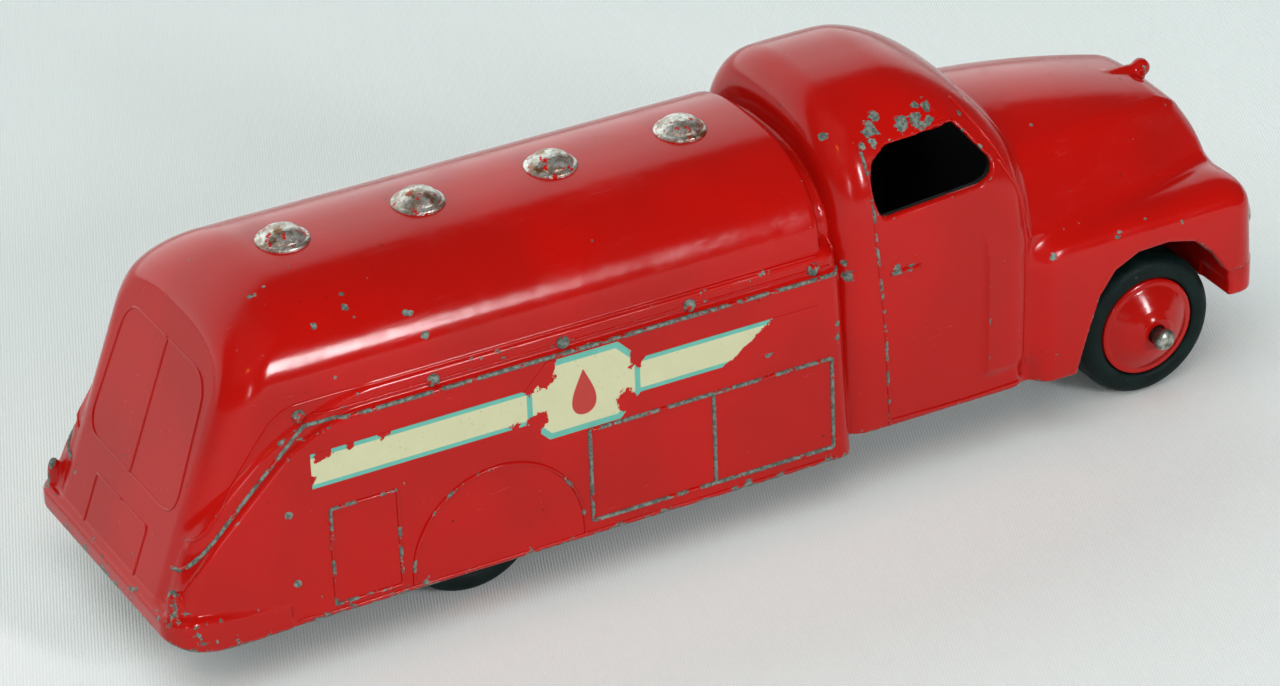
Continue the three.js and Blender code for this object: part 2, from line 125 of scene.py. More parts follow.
def cut(a, b, r):
    """Solid a with solid b taken away, its edge rounded to radius r."""
    return meet(a, -b, r)


def plane(u, v, through, normal):
    return (u - through[0]) * normal[0] + (v - through[1]) * normal[1]


def polygon(u, v, points):
    """Distance to a closed outline, negative inside it."""
    nearest = np.full(u.shape, np.inf)
    inside = np.zeros(u.shape, bool)
    for (au, av), (bu, bv) in zip(points, points[1:] + points[:1]):
        eu, ev = bu - au, bv - av
        wu, wv = u - au, v - av
        t = np.clip((wu * eu + wv * ev) / (eu * eu + ev * ev), 0, 1)
        nearest = np.minimum(nearest, (wu - t * eu) ** 2 + (wv - t * ev) ** 2)
        crosses = (av > v) != (bv > v)
        inside ^= crosses & ((wu * ev - wv * eu) * np.sign(ev) < 0)
    return np.where(inside, -1, 1) * np.sqrt(nearest)


def shrunk(points, r):
    """A convex outline moved inwards by r."""
    made = []
    count = len(points)
    turn = sum(a[0] * b[1] - a[1] * b[0] for a, b in zip(points, points[1:] + points[:1]))
    for i in range(count):
        a, b, c = (Vector(points[(i + k) % count]) for k in (-1, 0, 1))
        first, second = (b - a).normalized(), (c - b).normalized()
        sign = math.copysign(r, turn)
        bisector = Vector((-first.y - second.y, first.x + second.x))
        made.append(tuple(b + bisector * sign / (1 + first.dot(second))))
    return made


def arch(y, z, half, base, crown, power):
    """An arch section: upright sides up to base, then a superellipse over the crown."""
    high = crown - base
    p = np.maximum(y / half, 1e-6)
    q = np.maximum((z - base) / high, 1e-6)
    total = (p**power + q**power) ** (1 / power)
    slope = total ** (1 - power) * np.hypot(p ** (power - 1) / half, q ** (power - 1) / high)
    return (total - 1) / slope


def ellipsoid(x, y, z, at, size):
    k = np.sqrt(((x - at[0]) / size[0]) ** 2 + ((y - at[1]) / size[1]) ** 2 + ((z - at[2]) / size[2]) ** 2)
    return (k - 1) * min(size)


def smooth(t):
    t = np.clip(t, 0, 1)
    return t * t * (3 - 2 * t)


def back_plane(x, z):
    lean = BACK["lean"]
    upright = BACK["x"] - x
    sloping = (BACK["x"] + lean * (z - BACK["z"]) - x) / math.hypot(1, lean)
    return np.maximum(upright, sloping)


def tank(x, y, z):
    section = arch(y, z, TANK["half"], TANK["shoulder"], TANK["crown"], TANK["power"])
    corner = BACK["corner"] + (BACK["top_corner"] - BACK["corner"]) * smooth((z - 29) / 5)
    closed = meet(section, back_plane(x, z), corner)
    return meet(closed, x - TANK["front"], 0.7)


def skirt_band(x, z):
    """How far a point is above the skirt's shoulder or behind its diagonal edge, in the side view."""
    run = math.hypot(1, DIAGONAL["slope"])
    behind = (z - DIAGONAL["z"] - DIAGONAL["slope"] * (x - DIAGONAL["x"])) / run
    return meet(z - SKIRT["top"], behind, DIAGONAL["corner"])


def skirt(x, y, z):
    side = y - SKIRT["half"] + SKIRT["draft"] * (z - TANK["bottom"])
    above = skirt_band(x, z)
    lower = meet(side, above + 0.3 * (y - SKIRT["half"] + 0.5), 0.3)
    upper = meet(y - BAND["half"], above - BAND["above"] + 0.5 * (y - BAND["half"]), 0.3)
    made = fuse(lower, upper, 0.2)
    made = meet(made, back_plane(x, z) + 0.25, 2.0)
    return meet(made, x - SKIRT["front"] + 0.05 * (z - 10), SKIRT["corner"])


def lip(x, y, z):
    """The rolled edge round the bottom of the back, whose ends flare out of the skirts and fade forward."""
    start, end = LIP["fade"]
    strength = smooth((end - x) / (end - start))
    r = LIP["corner"]
    half = LIP["half"] + LIP["flare"] * strength
    away = np.hypot(np.maximum(REAR + r - x, 0), np.maximum(y - half + r, 0))
    plan = away + np.minimum(np.maximum(REAR + r - x, y - half + r), 0) - r
    top = z - LIP["base"] - (LIP["high"] - LIP["base"]) * strength
    facet = plan * 0.75 + top * 0.66
    return np.maximum(meet(meet(plan, facet + 0.3, 0.15), top, 0.2), x - end)


def neck(x, y, z):
    half, crown = TANK["half"] - NECK["inset"], TANK["crown"] - NECK["inset"]
    section = arch(y, z, half, TANK["shoulder"], crown, TANK["power"])
    return np.maximum(section, np.maximum(x - NECK["end"], 5 - x))


def cab(x, y, z):
    bowed = x + CAB["bow"] * (y / CAB["half"]) ** 2
    section = arch(y, z, CAB["half"], CAB["belt"], CAB["crown"], CAB["power"])
    dome = section + ROOF["fall"] * (x - ROOF["middle"]) ** 2 * smooth((z - ROOF["from"]) / 6)
    made = meet(dome, CAB["back"] - x, 3.2)
    made = meet(made, plane(bowed, z, SCREEN["through"], SCREEN["normal"]), 4.5)
    return meet(made, bowed - 31.8, 1.5)


def hood(x, y, z):
    ahead = np.maximum(x - HOOD["start"], 0)
    half = HOOD["half"] - HOOD["taper"] * ahead
    crown = HOOD["crown"] - HOOD["slope"] * ahead - HOOD["fall"] * ahead**2
    section = arch(y, z, half, HOOD["base"], crown, 2.0)
    past = x - RIDGE["start"]
    ridge = RIDGE["half"] - RIDGE["taper"] * past - RIDGE["sweep"] * np.maximum(past, 0) ** 2
    height = np.maximum(z, RIDGE["foot"]) - RIDGE["z"]
    flank = (y - ridge + RIDGE["lean"] * height) / math.hypot(1, RIDGE["lean"])
    section = meet(section, flank, 0.7)
    made = meet(section, plane(x, z, NOSE["through"], NOSE["normal"]), 1.6)
    made = meet(made, x - NOSE["front"], 2.0)
    tail = ellipsoid(x, y, z, ORNAMENT["at"], ORNAMENT["size"])
    knob = ellipsoid(x, y, z, KNOB["at"], KNOB["size"])
    made = fuse(made, fuse(tail, knob, 0.3), 0.3)
    return np.maximum(made, HOOD["back"] - x)


def wing(x, y, z):
    top = (z - WING["crown"] - WING["rise"] * (11.5 - np.maximum(y, 6))) / math.hypot(1, WING["rise"])
    side = y - WING["half"] + 0.012 * (z - 8)
    made = meet(top, side, WING["top_corner"])
    rear = meet(WING["back"] - x, z - WING["crown"], 4.0)
    made = meet(made, rear, 2.4)
    front = meet(x - WING["front"] - 0.05 * (13 - z), z - WING["crown"], 3.6)
    return meet(made, front, 2.6)


def bumper(x, y, z):
    r = 2.0
    away = np.hypot(np.maximum(x - FRONT + r, 0), np.maximum(y - BUMPER["half"] + r, 0))
    plan = away + np.minimum(np.maximum(x - FRONT + r, y - BUMPER["half"] + r), 0) - r
    bar = meet(plan, z - BUMPER["high"], 0.5)
    bar = fuse(bar, ellipsoid(x, y, z, OVERRIDER["at"], OVERRIDER["size"]), 0.2)
    return meet(bar, BUMPER["back"] - x, 0.4)


def casting_outside(x, y, z, floored):
    """The outside of the casting. Without its floors, it goes on downwards, to shape the hollow inside."""
    def floor(made, level):
        return meet(made, level - z, 0.3) if floored else made

    rise = np.clip((-49 - x) / 7, 0, 1) ** 2
    low = TANK["bottom"] + 1.9 * rise
    rear = fuse(tank(x, y, z), skirt(x, y, z), 0.25)
    if floored:
        rear = fuse(rear, lip(x, y, z), 0.3)
        rear = fuse(rear, ellipsoid(x, y, z, EAR["at"], EAR["size"]), 0.35)
    rear = floor(rear, low)
    front = fuse(floor(cab(x, y, z), CAB["bottom"]), floor(hood(x, y, z), HOOD["bottom"]), 0.9)
    front = fuse(front, floor(wing(x, y, z), WING["bottom"]), 1.3)
    if floored:
        nose = np.where(x > 46, WING["nose"] - z, -9)
        front = fuse(np.maximum(front, nose), floor(bumper(x, y, z), BUMPER["low"]), 0.3)
    return fuse(fuse(rear, neck(x, y, z), 0.3), front, 0.25)


def casting(points):
    """Distance to the whole body casting, for an array of points in millimetres."""
    x, z = points[:, 0], points[:, 2]
    y = np.abs(points[:, 1])
    made = casting_outside(x, y, z, True)
    hollow = casting_outside(x, y, z, False) + WALL
    hollow = np.maximum(hollow, x - 52.4 - 1.4 * smooth((z - 12.4) / 1.6))
    bulkhead = np.maximum(np.abs(x - BULKHEAD["x"]) - BULKHEAD["half"], BULKHEAD["low"] - z)
    made = cut(made, np.maximum(hollow, -bulkhead), 0.25)
    made = cut(made, np.maximum(polygon(x, z, ARCH), 8.5 - y), 0.35)
    window = polygon(x, z, shrunk(SIDE_WINDOW, 1.0)) - 1.0
    made = cut(made, np.maximum(window, 6 - y), 0.3)
    pane = polygon(y, z, shrunk(SCREEN_PANE, 0.5)) - 0.5
    made = cut(made, np.maximum(pane, 24 - x), 0.25)
    for post in POSTS:
        shaft = np.maximum(np.hypot(x - post, y) - 1.9, np.maximum(6.0 - z, z - 28))
        made = np.minimum(made, shaft)
    return made


def gradient(field, points, reach=0.03):
    """The field's slope at each point: the direction that leads out of the metal."""
    steps = np.eye(3) * reach
    return np.stack([(field(points + s) - field(points - s)) / (2 * reach) for s in steps], 1)


def settle(field, points, rounds=2):
    """Points moved onto the surface of the field."""
    for _ in range(rounds):
        slope = gradient(field, points)
        size = np.maximum((slope**2).sum(1), 0.05)
        move = field(points) / size
        points = points - np.clip(move, -0.2, 0.2)[:, None] * slope
    return points


def surface(field, low, high, step):
    """A quad mesh of the field's surface, for a field that is the same on both sides of y = 0."""
    counts = [int(math.ceil((b - a) / step)) + 1 for a, b in zip(low, high)]
    xs = low[0] + step * np.arange(counts[0])
    ys = step * (np.arange(int(high[1] / step) + 2) + 0.5)
    zs = low[2] + step * np.arange(counts[2])
    coarse = 4
    grid = np.empty((len(xs), len(ys), len(zs)), np.float32)
    cx, cy, cz = xs[::coarse], ys[::coarse], zs[::coarse]
    sparse = np.stack(np.meshgrid(cx, cy, cz, indexing="ij"), -1).reshape(-1, 3) + step * (coarse - 1) / 2
    far = field(sparse).reshape(len(cx), len(cy), len(cz))
    spread = far.repeat(coarse, 0).repeat(coarse, 1).repeat(coarse, 2)
    grid[:] = spread[: len(xs), : len(ys), : len(zs)]
    near = np.argwhere(np.abs(grid) < step * coarse * 1.3)
    found = np.stack([xs[near[:, 0]], ys[near[:, 1]], zs[near[:, 2]]], 1)
    grid[tuple(near.T)] = field(found)
    full = np.concatenate([grid[:, ::-1], grid], 1)
    ys = np.concatenate([-ys[::-1], ys])
    return nets(full, xs, ys, zs)


def nets(grid, xs, ys, zs):
    """Surface nets: a vertex in each cell that the surface crosses, a quad for each grid edge it crosses."""
    inside = grid < 0
    cells = tuple(n - 1 for n in grid.shape)
    total = np.zeros(cells, np.int8)
    for i in (0, 1):
        for j in (0, 1):
            for k in (0, 1):
                total += inside[i : cells[0] + i, j : cells[1] + j, k : cells[2] + k]
    active = (total > 0) & (total < 8)
    where = np.argwhere(active)
    index = np.full(cells, -1, np.int64)
    index[active] = np.arange(len(where))
    sums = np.zeros((len(where), 3))
    hits = np.zeros(len(where))
    corners = [(i, j, k) for i in (0, 1) for j in (0, 1) for k in (0, 1)]
    for a in corners:
        for axis in range(3):
            if a[axis]:
                continue
            b = tuple(c + (n == axis) for n, c in enumerate(a))
            va = grid[tuple((where + a).T)]
            vb = grid[tuple((where + b).T)]
            crossed = (va < 0) != (vb < 0)
            t = np.where(crossed, va / np.where(crossed, va - vb, 1), 0)
            at = np.tile(np.array(a, float), (len(where), 1))
            at[:, axis] += t
            sums += at * crossed[:, None]
            hits += crossed
    local = where + sums / hits[:, None]
    points = np.stack([np.interp(local[:, n], np.arange(len(v)), v) for n, v in enumerate((xs, ys, zs))], 1)
    quads = []
    for axis in range(3):
        u, v = (axis + 1) % 3, (axis + 2) % 3
        lo = [slice(1, n) for n in cells]
        lo[axis] = slice(0, cells[axis])
        first = inside[tuple(lo)]
        up = list(lo)
        up[axis] = slice(1, cells[axis] + 1)
        second = inside[tuple(up)]
        for flip, mask in ((False, first & ~second), (True, ~first & second)):
            base = np.argwhere(mask) + [0 if n == axis else 1 for n in range(3)]
            ring = []
            for du, dv in ((-1, -1), (0, -1), (0, 0), (-1, 0)):
                at = base.copy()
                at[:, u] += du
                at[:, v] += dv
                ring.append(index[tuple(at.T)])
            quad = np.stack(ring if not flip else ring[::-1], 1)
            quads.append(quad)
    return points, np.concatenate(quads)


# ---------- meshes ----------
def mesh_object(name, points, faces, material, smooth_faces=True):
    mesh = bpy.data.meshes.new(name)
    mesh.from_pydata((np.asarray(points, float) * MM).tolist(), [], [list(map(int, f)) for f in faces])
    mesh.materials.append(material)
    mesh.polygons.foreach_set("use_smooth", [smooth_faces] * len(mesh.polygons))
    mesh.update()
    made = bpy.data.objects.new(name, mesh)
    bpy.context.scene.collection.objects.link(made)
    return made


def solid_object(name, parts, material, sharp=None, wear=None):
    """An object from closed parts, each (points, faces), with its faces turned outwards."""
    points, faces = joined(parts)
    made = mesh_object(name, points, faces, material)
    if wear is not None:
        point_attribute(made.data, "wear", wear)
    work = bmesh.new()
    work.from_mesh(made.data)
    bmesh.ops.remove_doubles(work, verts=work.verts, dist=1e-7)
    bmesh.ops.recalc_face_normals(work, faces=work.faces)
    work.to_mesh(made.data)
    work.free()
    if sharp:
        made.data.set_sharp_from_angle(angle=math.radians(sharp))
    return made


def joined(parts):
    points, faces, start = [], [], 0
    for part_points, part_faces in parts:
        points.append(np.asarray(part_points, float))
        faces += [[start + i for i in face] for face in part_faces]
        start += len(part_points)
    return np.concatenate(points), faces


def tube(rings, looped=False):
    """A closed skin over an (n, k, 3) array of rings, capped unless the last ring meets the first."""
    n, k = rings.shape[:2]
    index = np.arange(n * k).reshape(n, k)
    after = np.roll(index, -1, 0) if looped else index[1:]
    before = index if looped else index[:-1]
    corners = [before, np.roll(before, -1, 1), np.roll(after, -1, 1), after]
    quads = np.stack(corners, -1).reshape(-1, 4).tolist()
    if not looped:
        quads += [index[0][::-1].tolist(), index[-1].tolist()]
    return rings.reshape(-1, 3), quads


def filleted(points, radius, steps=4, closed=True):
    """An outline with its corners rounded off."""
    made = []
    count = len(points)
    for i, here in enumerate(points):
        if not closed and i in (0, count - 1):
            made.append(tuple(here))
            continue
        b = np.array(here, float)
        a, c = np.array(points[i - 1], float), np.array(points[(i + 1) % count], float)
        reach = min(radius, np.linalg.norm(a - b) * 0.45, np.linalg.norm(c - b) * 0.45)
        start = b + (a - b) / np.linalg.norm(a - b) * reach
        end = b + (c - b) / np.linalg.norm(c - b) * reach
        for t in np.linspace(0, 1, steps + 1):
            made.append(tuple((1 - t) ** 2 * start + 2 * t * (1 - t) * b + t * t * end))
    return made


def turned(profile, at, axis, segments=72, looped=True):
    """A profile of (radius, height) turned about an axis through at. Height 0 is at that point."""
    axis = Vector(axis).normalized()
    turn = axis.to_track_quat("Z", "X").to_matrix()
    u, v, w = (np.array(turn.col[i]) for i in range(3))
    angles = np.linspace(0, 2 * np.pi, segments, endpoint=False)
    ring = np.cos(angles)[:, None] * u + np.sin(angles)[:, None] * v
    rings = np.stack([np.array(at) + ring * r + w * h for r, h in profile])
    return tube(rings, looped)


def slab(outline, low, high, bevel, place):
    """A plate with softened edges: place gives the 3D points for 2D outline points at a depth."""
    flat = np.array(outline, float)
    ahead, behind = np.roll(flat, -1, 0) - flat, flat - np.roll(flat, 1, 0)
    tangent = ahead / np.linalg.norm(ahead, axis=1)[:, None]
    tangent = tangent + behind / np.linalg.norm(behind, axis=1)[:, None]
    tangent /= np.linalg.norm(tangent, axis=1)[:, None]
    area = (flat[:, 0] * np.roll(flat[:, 1], -1) - flat[:, 1] * np.roll(flat[:, 0], -1)).sum()
    inward = np.stack([-tangent[:, 1], tangent[:, 0]], 1) * math.copysign(1, area)
    levels = [(low, bevel), (low + bevel * 0.3, bevel * 0.3), (low + bevel, 0)]
    levels += [(high - bevel, 0), (high - bevel * 0.3, bevel * 0.3), (high, bevel)]
    return tube(np.stack([place(flat + inward * inset, depth) for depth, inset in levels]))


def mirrored(part):
    points, faces = part
    return np.asarray(points, float) * (1, -1, 1), faces


def coordinates(mesh):
    co = np.empty(len(mesh.vertices) * 3, np.float32)
    mesh.vertices.foreach_get("co", co)
    return co.reshape(-1, 3).astype(float) / MM


def point_attribute(mesh, name, values):
    attribute = mesh.attributes.new(name, "FLOAT", "POINT")
    attribute.data.foreach_set("value", np.asarray(values, np.float32))


def rides(made, body, slot, *nodes):
    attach(made, body)
    if nodes:
        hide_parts(*nodes)


# ---------- materials ----------
class Shading:
    """A material whose patterns are laid out in millimetres, in the object's own space."""

    def __init__(self, name):
        self.material = bpy.data.materials.new(name)
        self.material.use_nodes = True
        self.tree = self.material.node_tree
        self.tree.nodes.clear()
        place = self.node("ShaderNodeTexCoord").outputs["Object"]
        to_mm = {0: place, 1: (1 / MM,) * 3}
        self.mm = self.node("ShaderNodeVectorMath", to_mm, operation="MULTIPLY").outputs[0]

    def node(self, kind, inputs=None, **settings):
        made = self.tree.nodes.new(kind)
        for key, value in settings.items():
            setattr(made, key, value)
        for key, value in (inputs or {}).items():
            if isinstance(value, bpy.types.NodeSocket):
                self.tree.links.new(value, made.inputs[key])
            else:
                made.inputs[key].default_value = value
        return made

    def calc(self, operation, a, b=0.0, c=0.0):
        return self.node("ShaderNodeMath", {0: a, 1: b, 2: c}, operation=operation).outputs[0]

    def noise(self, size, detail=3.0, roughness=0.5, stretch=(1, 1, 1)):
        """Noise from 0 to 1, around 0.5, whose blobs are about size millimetres across."""
        where = self.node("ShaderNodeVectorMath", {0: self.mm, 1: stretch}, operation="MULTIPLY").outputs[0]
        inputs = {"Vector": where, "Scale": 1 / size, "Detail": detail, "Roughness": roughness}
        return self.node("ShaderNodeTexNoise", inputs).outputs["Fac"]

    def step(self, value, low, high, out_low=0.0, out_high=1.0):
        inputs = {"Value": value, 1: low, 2: high, 3: out_low, 4: out_high}
        return self.node("ShaderNodeMapRange", inputs, interpolation_type="SMOOTHSTEP").outputs[0]

    def mix(self, amount, a, b):
        first, second = (v if isinstance(v, bpy.types.NodeSocket) else (*v, 1) for v in (a, b))
        return self.node("ShaderNodeMixRGB", {"Fac": amount, "Color1": first, "Color2": second}).outputs[0]

    def attribute(self, name):
        return self.node("ShaderNodeAttribute", attribute_name=name).outputs["Fac"]

    def bump(self, height, strength=1.0):
        """Height is in millimetres."""
        inputs = {"Height": height, "Distance": MM, "Strength": strength}
        return self.node("ShaderNodeBump", inputs).outputs[0]

    def surface(self, **inputs):
        named = {key.replace("_", " ").title().replace("Ior", "IOR"): value for key, value in inputs.items()}
        for key in ("Base Color", "Coat Tint"):
            if key in named and not isinstance(named[key], bpy.types.NodeSocket):
                named[key] = (*named[key], 1)
        return self.node("ShaderNodeBsdfPrincipled", named).outputs[0]

    def blend(self, amount, a, b):
        return self.node("ShaderNodeMixShader", {0: amount, 1: a, 2: b}).outputs[0]

    def done(self, shader):
        self.node("ShaderNodeOutputMaterial", {"Surface": shader})
        return self.material


RED, DEEP_RED = (0.45, 0.0038, 0.0018), (0.385, 0.0045, 0.0024)
ZINC, DARK_ZINC = (0.21, 0.26, 0.225), (0.09, 0.115, 0.10)
# Near-black for the hollow inside the casting: painted shade for the dark that the windows look into.
INSIDE_PAINTED_SHADE = (0.006, 0.006, 0.006)

# Chips in the paint of the right side: x, y, z and radius. A separate script worked these places out, from
# points picked in the photograph.
CHIPS = [
    (21.8, -9.0, 35.5, 0.65), (20.8, -9.0, 35.6, 0.45), (16.6, -9.1, 35.6, 0.6), (15.6, -9.7, 35.0, 0.8),
    (15.5, -10.6, 34.0, 0.5), (18.7, -10.0, 34.8, 0.75), (20.3, -10.0, 34.7, 0.8),
    (21.4, -10.2, 34.5, 0.5), (14.3, -10.6, 34.0, 0.35), (11.6, -8.5, 34.8, 0.4), (25.1, -9.4, 33.9, 0.25),
    (35.7, -9.1, 22.5, 0.3), (39.8, -13.9, 19.8, 0.4), (42.8, -13.5, 20.3, 0.25), (32.6, -14.0, 19.4, 0.5),
    (39.4, -14.0, 19.5, 0.3), (-44.9, 3.8, 32.1, 0.25), (-42.9, -5.7, 33.0, 0.3), (-42.5, -5.9, 33.1, 0.3),
    (-41.5, -5.5, 33.5, 0.2), (-35.7, -8.5, 32.6, 0.2), (-36.0, -9.5, 32.0, 0.3),
    (-35.5, -10.4, 31.3, 0.2), (-39.2, -10.2, 31.4, 0.3), (-31.0, -10.9, 30.7, 0.3),
    (-30.6, -11.0, 30.5, 0.25), (-45.5, -9.5, 30.0, 0.4), (-46.8, -9.5, 28.9, 0.35),
    (-46.4, -11.0, 28.1, 0.3), (-45.8, -12.1, 27.0, 0.28), (-44.1, -13.7, 16.1, 0.35),
    (-43.8, -13.9, 9.2, 0.3), (-42.2, -13.4, 22.9, 0.55), (-29.8, -12.1, 28.7, 0.35),
    (-22.9, -13.1, 24.7, 0.3), (-10.2, -13.2, 24.6, 0.3), (2.9, -13.7, 17.9, 0.35),
    (10.0, -13.6, 17.6, 0.35), (10.1, -13.5, 18.7, 0.3), (11.6, -12.5, 22.6, 0.6),
    (11.4, -12.3, 24.0, 0.4), (16.4, -13.3, 22.5, 0.4), (17.9, -13.3, 22.2, 0.45),
]


def enamel_shader(s, worn=0.0, chips=()):
    """Glossy red enamel on zinc. The wear attribute, plus worn, is how much of it has gone. The hollow,
    marked by the inside attribute, is made near-black as painted shade.
    """
    grain = s.noise(1.2, 5, 0.65)
    worn = s.calc("ADD", s.attribute("wear"), worn)
    wear = s.calc("MULTIPLY_ADD", s.calc("SUBTRACT", grain, 0.5), 2.4, worn)
    bare = s.step(wear, 0.5, 0.58)
    ragged = s.calc("MULTIPLY_ADD", s.noise(0.9, 4, 0.62, (0.7, 1, 1.2)), 3.2, -1.6)
    for x, y, z, r in chips:
        away = s.node("ShaderNodeVectorMath", {0: s.mm, 1: (x, y, z)}, operation="DISTANCE").outputs["Value"]
        near = s.calc("MULTIPLY_ADD", away, 1 / r, ragged)
        bare = s.calc("MAXIMUM", bare, s.step(near, 0.95, 0.8))
    cell = s.node("ShaderNodeTexVoronoi", {"Vector": s.mm, "Scale": 0.26})
    pick = s.node("ShaderNodeSeparateColor", {0: cell.outputs["Color"]}).outputs[0]
    reach = s.calc("MULTIPLY", s.step(pick, 0.62, 1.0), 0.062)
    from_speck = s.calc("MULTIPLY_ADD", ragged, 0.02, cell.outputs["Distance"])
    speck = s.step(s.calc("SUBTRACT", from_speck, reach), 0.008, -0.008)
    bare = s.calc("MAXIMUM", bare, speck)
    # The inside attribute turns the hollow near-black: painted shade, not a colour of the metal.
    inside = s.step(s.attribute("inside"), 0.4, 0.6)
    red = s.mix(s.step(s.noise(14, 2), 0.35, 0.65), RED, DEEP_RED)
    red = s.mix(s.step(s.noise(0.55, 2, 0.4), 0.76, 0.8), red, (0.10, 0.006, 0.004))
    zinc = s.mix(s.step(s.noise(0.35, 3), 0.4, 0.62), DARK_ZINC, ZINC)
    colour = s.mix(bare, red, zinc)
    colour = s.mix(inside, colour, INSIDE_PAINTED_SHADE)
    dull = s.calc("MAXIMUM", bare, inside)
    scuff = s.step(s.noise(5, 4, 0.65, (1, 1, 2)), 0.45, 0.75, 0.14, 0.26)
    streak = s.step(s.noise(0.5, 2, 0.5, (0.12, 1, 1)), 0.6, 0.75, 0.0, 0.1)
    rough = s.calc("MAXIMUM", s.calc("ADD", scuff, streak), s.calc("MULTIPLY", dull, 0.62))
    peel = s.calc("MULTIPLY", s.noise(1.5, 2, 0.4), 0.012)
    grit = s.calc("MULTIPLY", s.noise(0.18, 2, 0.5), 0.0022)
    height = s.calc("MULTIPLY_ADD", bare, -0.03, s.calc("ADD", peel, grit))
    return s.surface(
        base_color=colour,
        roughness=rough,
        metallic=s.calc("MULTIPLY", bare, 0.3),
        ior=1.36,
        normal=s.bump(height),
    )


def enamel(name, worn=0.0, chips=()):
    s = Shading(name)
    return s.done(enamel_shader(s, worn, chips))


def silver_paint(name):
    """Brushed-on aluminium paint, which has rubbed off the red enamel in places."""
    s = Shading(name)
    flake = s.noise(0.16, 2)
    grime = s.step(s.noise(1.1, 4, 0.6), 0.38, 0.6)
    colour = s.mix(grime, (0.34, 0.27, 0.22), s.mix(flake, (0.55, 0.52, 0.47), (0.80, 0.77, 0.72)))
    # The reddish-brown patches are partly the red enamel showing through and partly painted reflection of the
    # red body.
    colour = s.mix(s.step(s.noise(1.6, 3, 0.55), 0.55, 0.68), colour, (0.26, 0.125, 0.06))
    height = s.calc("MULTIPLY", s.noise(0.4, 3), 0.07)
    rough = s.step(flake, 0.3, 0.7, 0.24, 0.46)
    silver = s.surface(base_color=colour, roughness=rough, metallic=0.8, normal=s.bump(height))
    gone = s.step(s.noise(0.9, 4, 0.6), 0.59, 0.63)
    return s.done(s.blend(gone, silver, enamel_shader(s, 0.1)))


def tyre_rubber():
    s = Shading("tyre_rubber")
    dust = s.step(s.noise(2.2, 4, 0.6), 0.4, 0.72)
    colour = s.mix(dust, (0.002, 0.0085, 0.0075), (0.0055, 0.018, 0.016))
    colour = s.mix(s.step(s.noise(0.5, 3), 0.68, 0.76), colour, (0.03, 0.045, 0.04))
    grain = s.calc("MULTIPLY", s.noise(0.3, 3), 0.025)
    height = s.calc("ADD", grain, s.calc("MULTIPLY", s.noise(2.5, 2), 0.05))
    rough = s.step(dust, 0.0, 1.0, 0.5, 0.72)
    rubber = s.surface(base_color=colour, roughness=rough, specular_ior_level=0.14, normal=s.bump(height))
    return s.done(rubber)


def axle_steel():
    s = Shading("axle_steel")
    tarnish = s.step(s.noise(0.8, 4, 0.6), 0.38, 0.62)
    colour = s.mix(tarnish, (0.16, 0.165, 0.14), (0.55, 0.56, 0.50))
    colour = s.mix(s.step(s.noise(0.5, 3), 0.64, 0.72), colour, (0.05, 0.035, 0.022))
    height = s.calc("MULTIPLY", s.noise(0.12, 2, 0.5, (1, 3, 1)), 0.012)
    rough = s.step(tarnish, 0.0, 1.0, 0.55, 0.3)
    return s.done(s.surface(base_color=colour, roughness=rough, metallic=0.92, normal=s.bump(height)))


def black_enamel():
    """The baseplate's satin black, rubbed through to tin on its edges."""
    s = Shading("black_enamel")
    rub = s.calc("MULTIPLY_ADD", s.calc("SUBTRACT", s.noise(0.9, 4, 0.6), 0.5), 2.2, s.attribute("wear"))
    bare = s.step(rub, 0.5, 0.6)
    scratch = s.step(s.noise(0.3, 2, 0.5, (0.06, 1, 1)), 0.68, 0.72)
    bare = s.calc("MAXIMUM", bare, s.calc("MULTIPLY", scratch, 0.7))
    black = s.mix(s.noise(6, 3), (0.008, 0.009, 0.010), (0.018, 0.019, 0.020))
    colour = s.mix(bare, black, (0.30, 0.31, 0.30))
    rough = s.step(s.noise(3, 4), 0.3, 0.7, 0.32, 0.5)
    height = s.calc("ADD", s.calc("MULTIPLY", s.noise(1.6, 2), 0.012), s.calc("MULTIPLY", bare, -0.015))
    metallic = s.calc("MULTIPLY", bare, 0.8)
    return s.done(s.surface(base_color=colour, roughness=rough, metallic=metallic, normal=s.bump(height)))


def transfer_film():
    """A cream film with a teal border and a red drop, torn away at its front end."""
    s = Shading("transfer_film")
    fray = s.calc("MULTIPLY_ADD", s.noise(0.9, 4, 0.65), 2.2, -1.1)
    gone = s.step(s.calc("ADD", s.attribute("torn"), fray), -0.04, 0.04)
    cream = s.mix(s.noise(2.2, 4, 0.6), (0.50, 0.52, 0.30), (0.60, 0.60, 0.38))
    cream = s.mix(s.step(s.noise(0.28, 2), 0.66, 0.74), cream, (0.40, 0.38, 0.22))
    teal = s.mix(s.noise(1.1, 3), (0.085, 0.37, 0.30), (0.13, 0.46, 0.37))
    colour = s.mix(s.step(s.attribute("border"), -0.03, 0.03), cream, teal)
    colour = s.mix(s.step(s.attribute("drop"), -0.03, 0.03), colour, (0.42, 0.02, 0.012))
    height = s.calc("MULTIPLY_ADD", s.noise(0.8, 3), 0.008, s.calc("MULTIPLY", gone, -0.05))
    film = s.surface(
        base_color=colour, roughness=0.42, coat_weight=0.25, coat_roughness=0.2, normal=s.bump(height)
    )
    return s.done(s.blend(gone, film, enamel_shader(s, -0.1)))


# ---------- body casting ----------
BOTTOM_WEAR = 0.3
EDGE_WEAR = {"from": 1.2, "by": 0.1}
# Places where the paint is rubbed, on both sides: x, y, z, radius and how much.
RUBBED = [
    (-54.9, 13.2, 9.4, 1.3, 0.38), (-54.5, 12.4, 11.2, 0.9, 0.3), (11.2, 13.2, 23.7, 1.0, 0.4),
    (-48.5, 14.4, 7.8, 1.6, 0.16), (-52.0, 14.6, 8.4, 1.6, 0.2), (14.4, 12.0, 31.5, 1.4, 0.12),
    (27.0, 12.4, 29.2, 1.1, 0.14), (55.4, 12.4, 11.0, 1.6, 0.12),
]


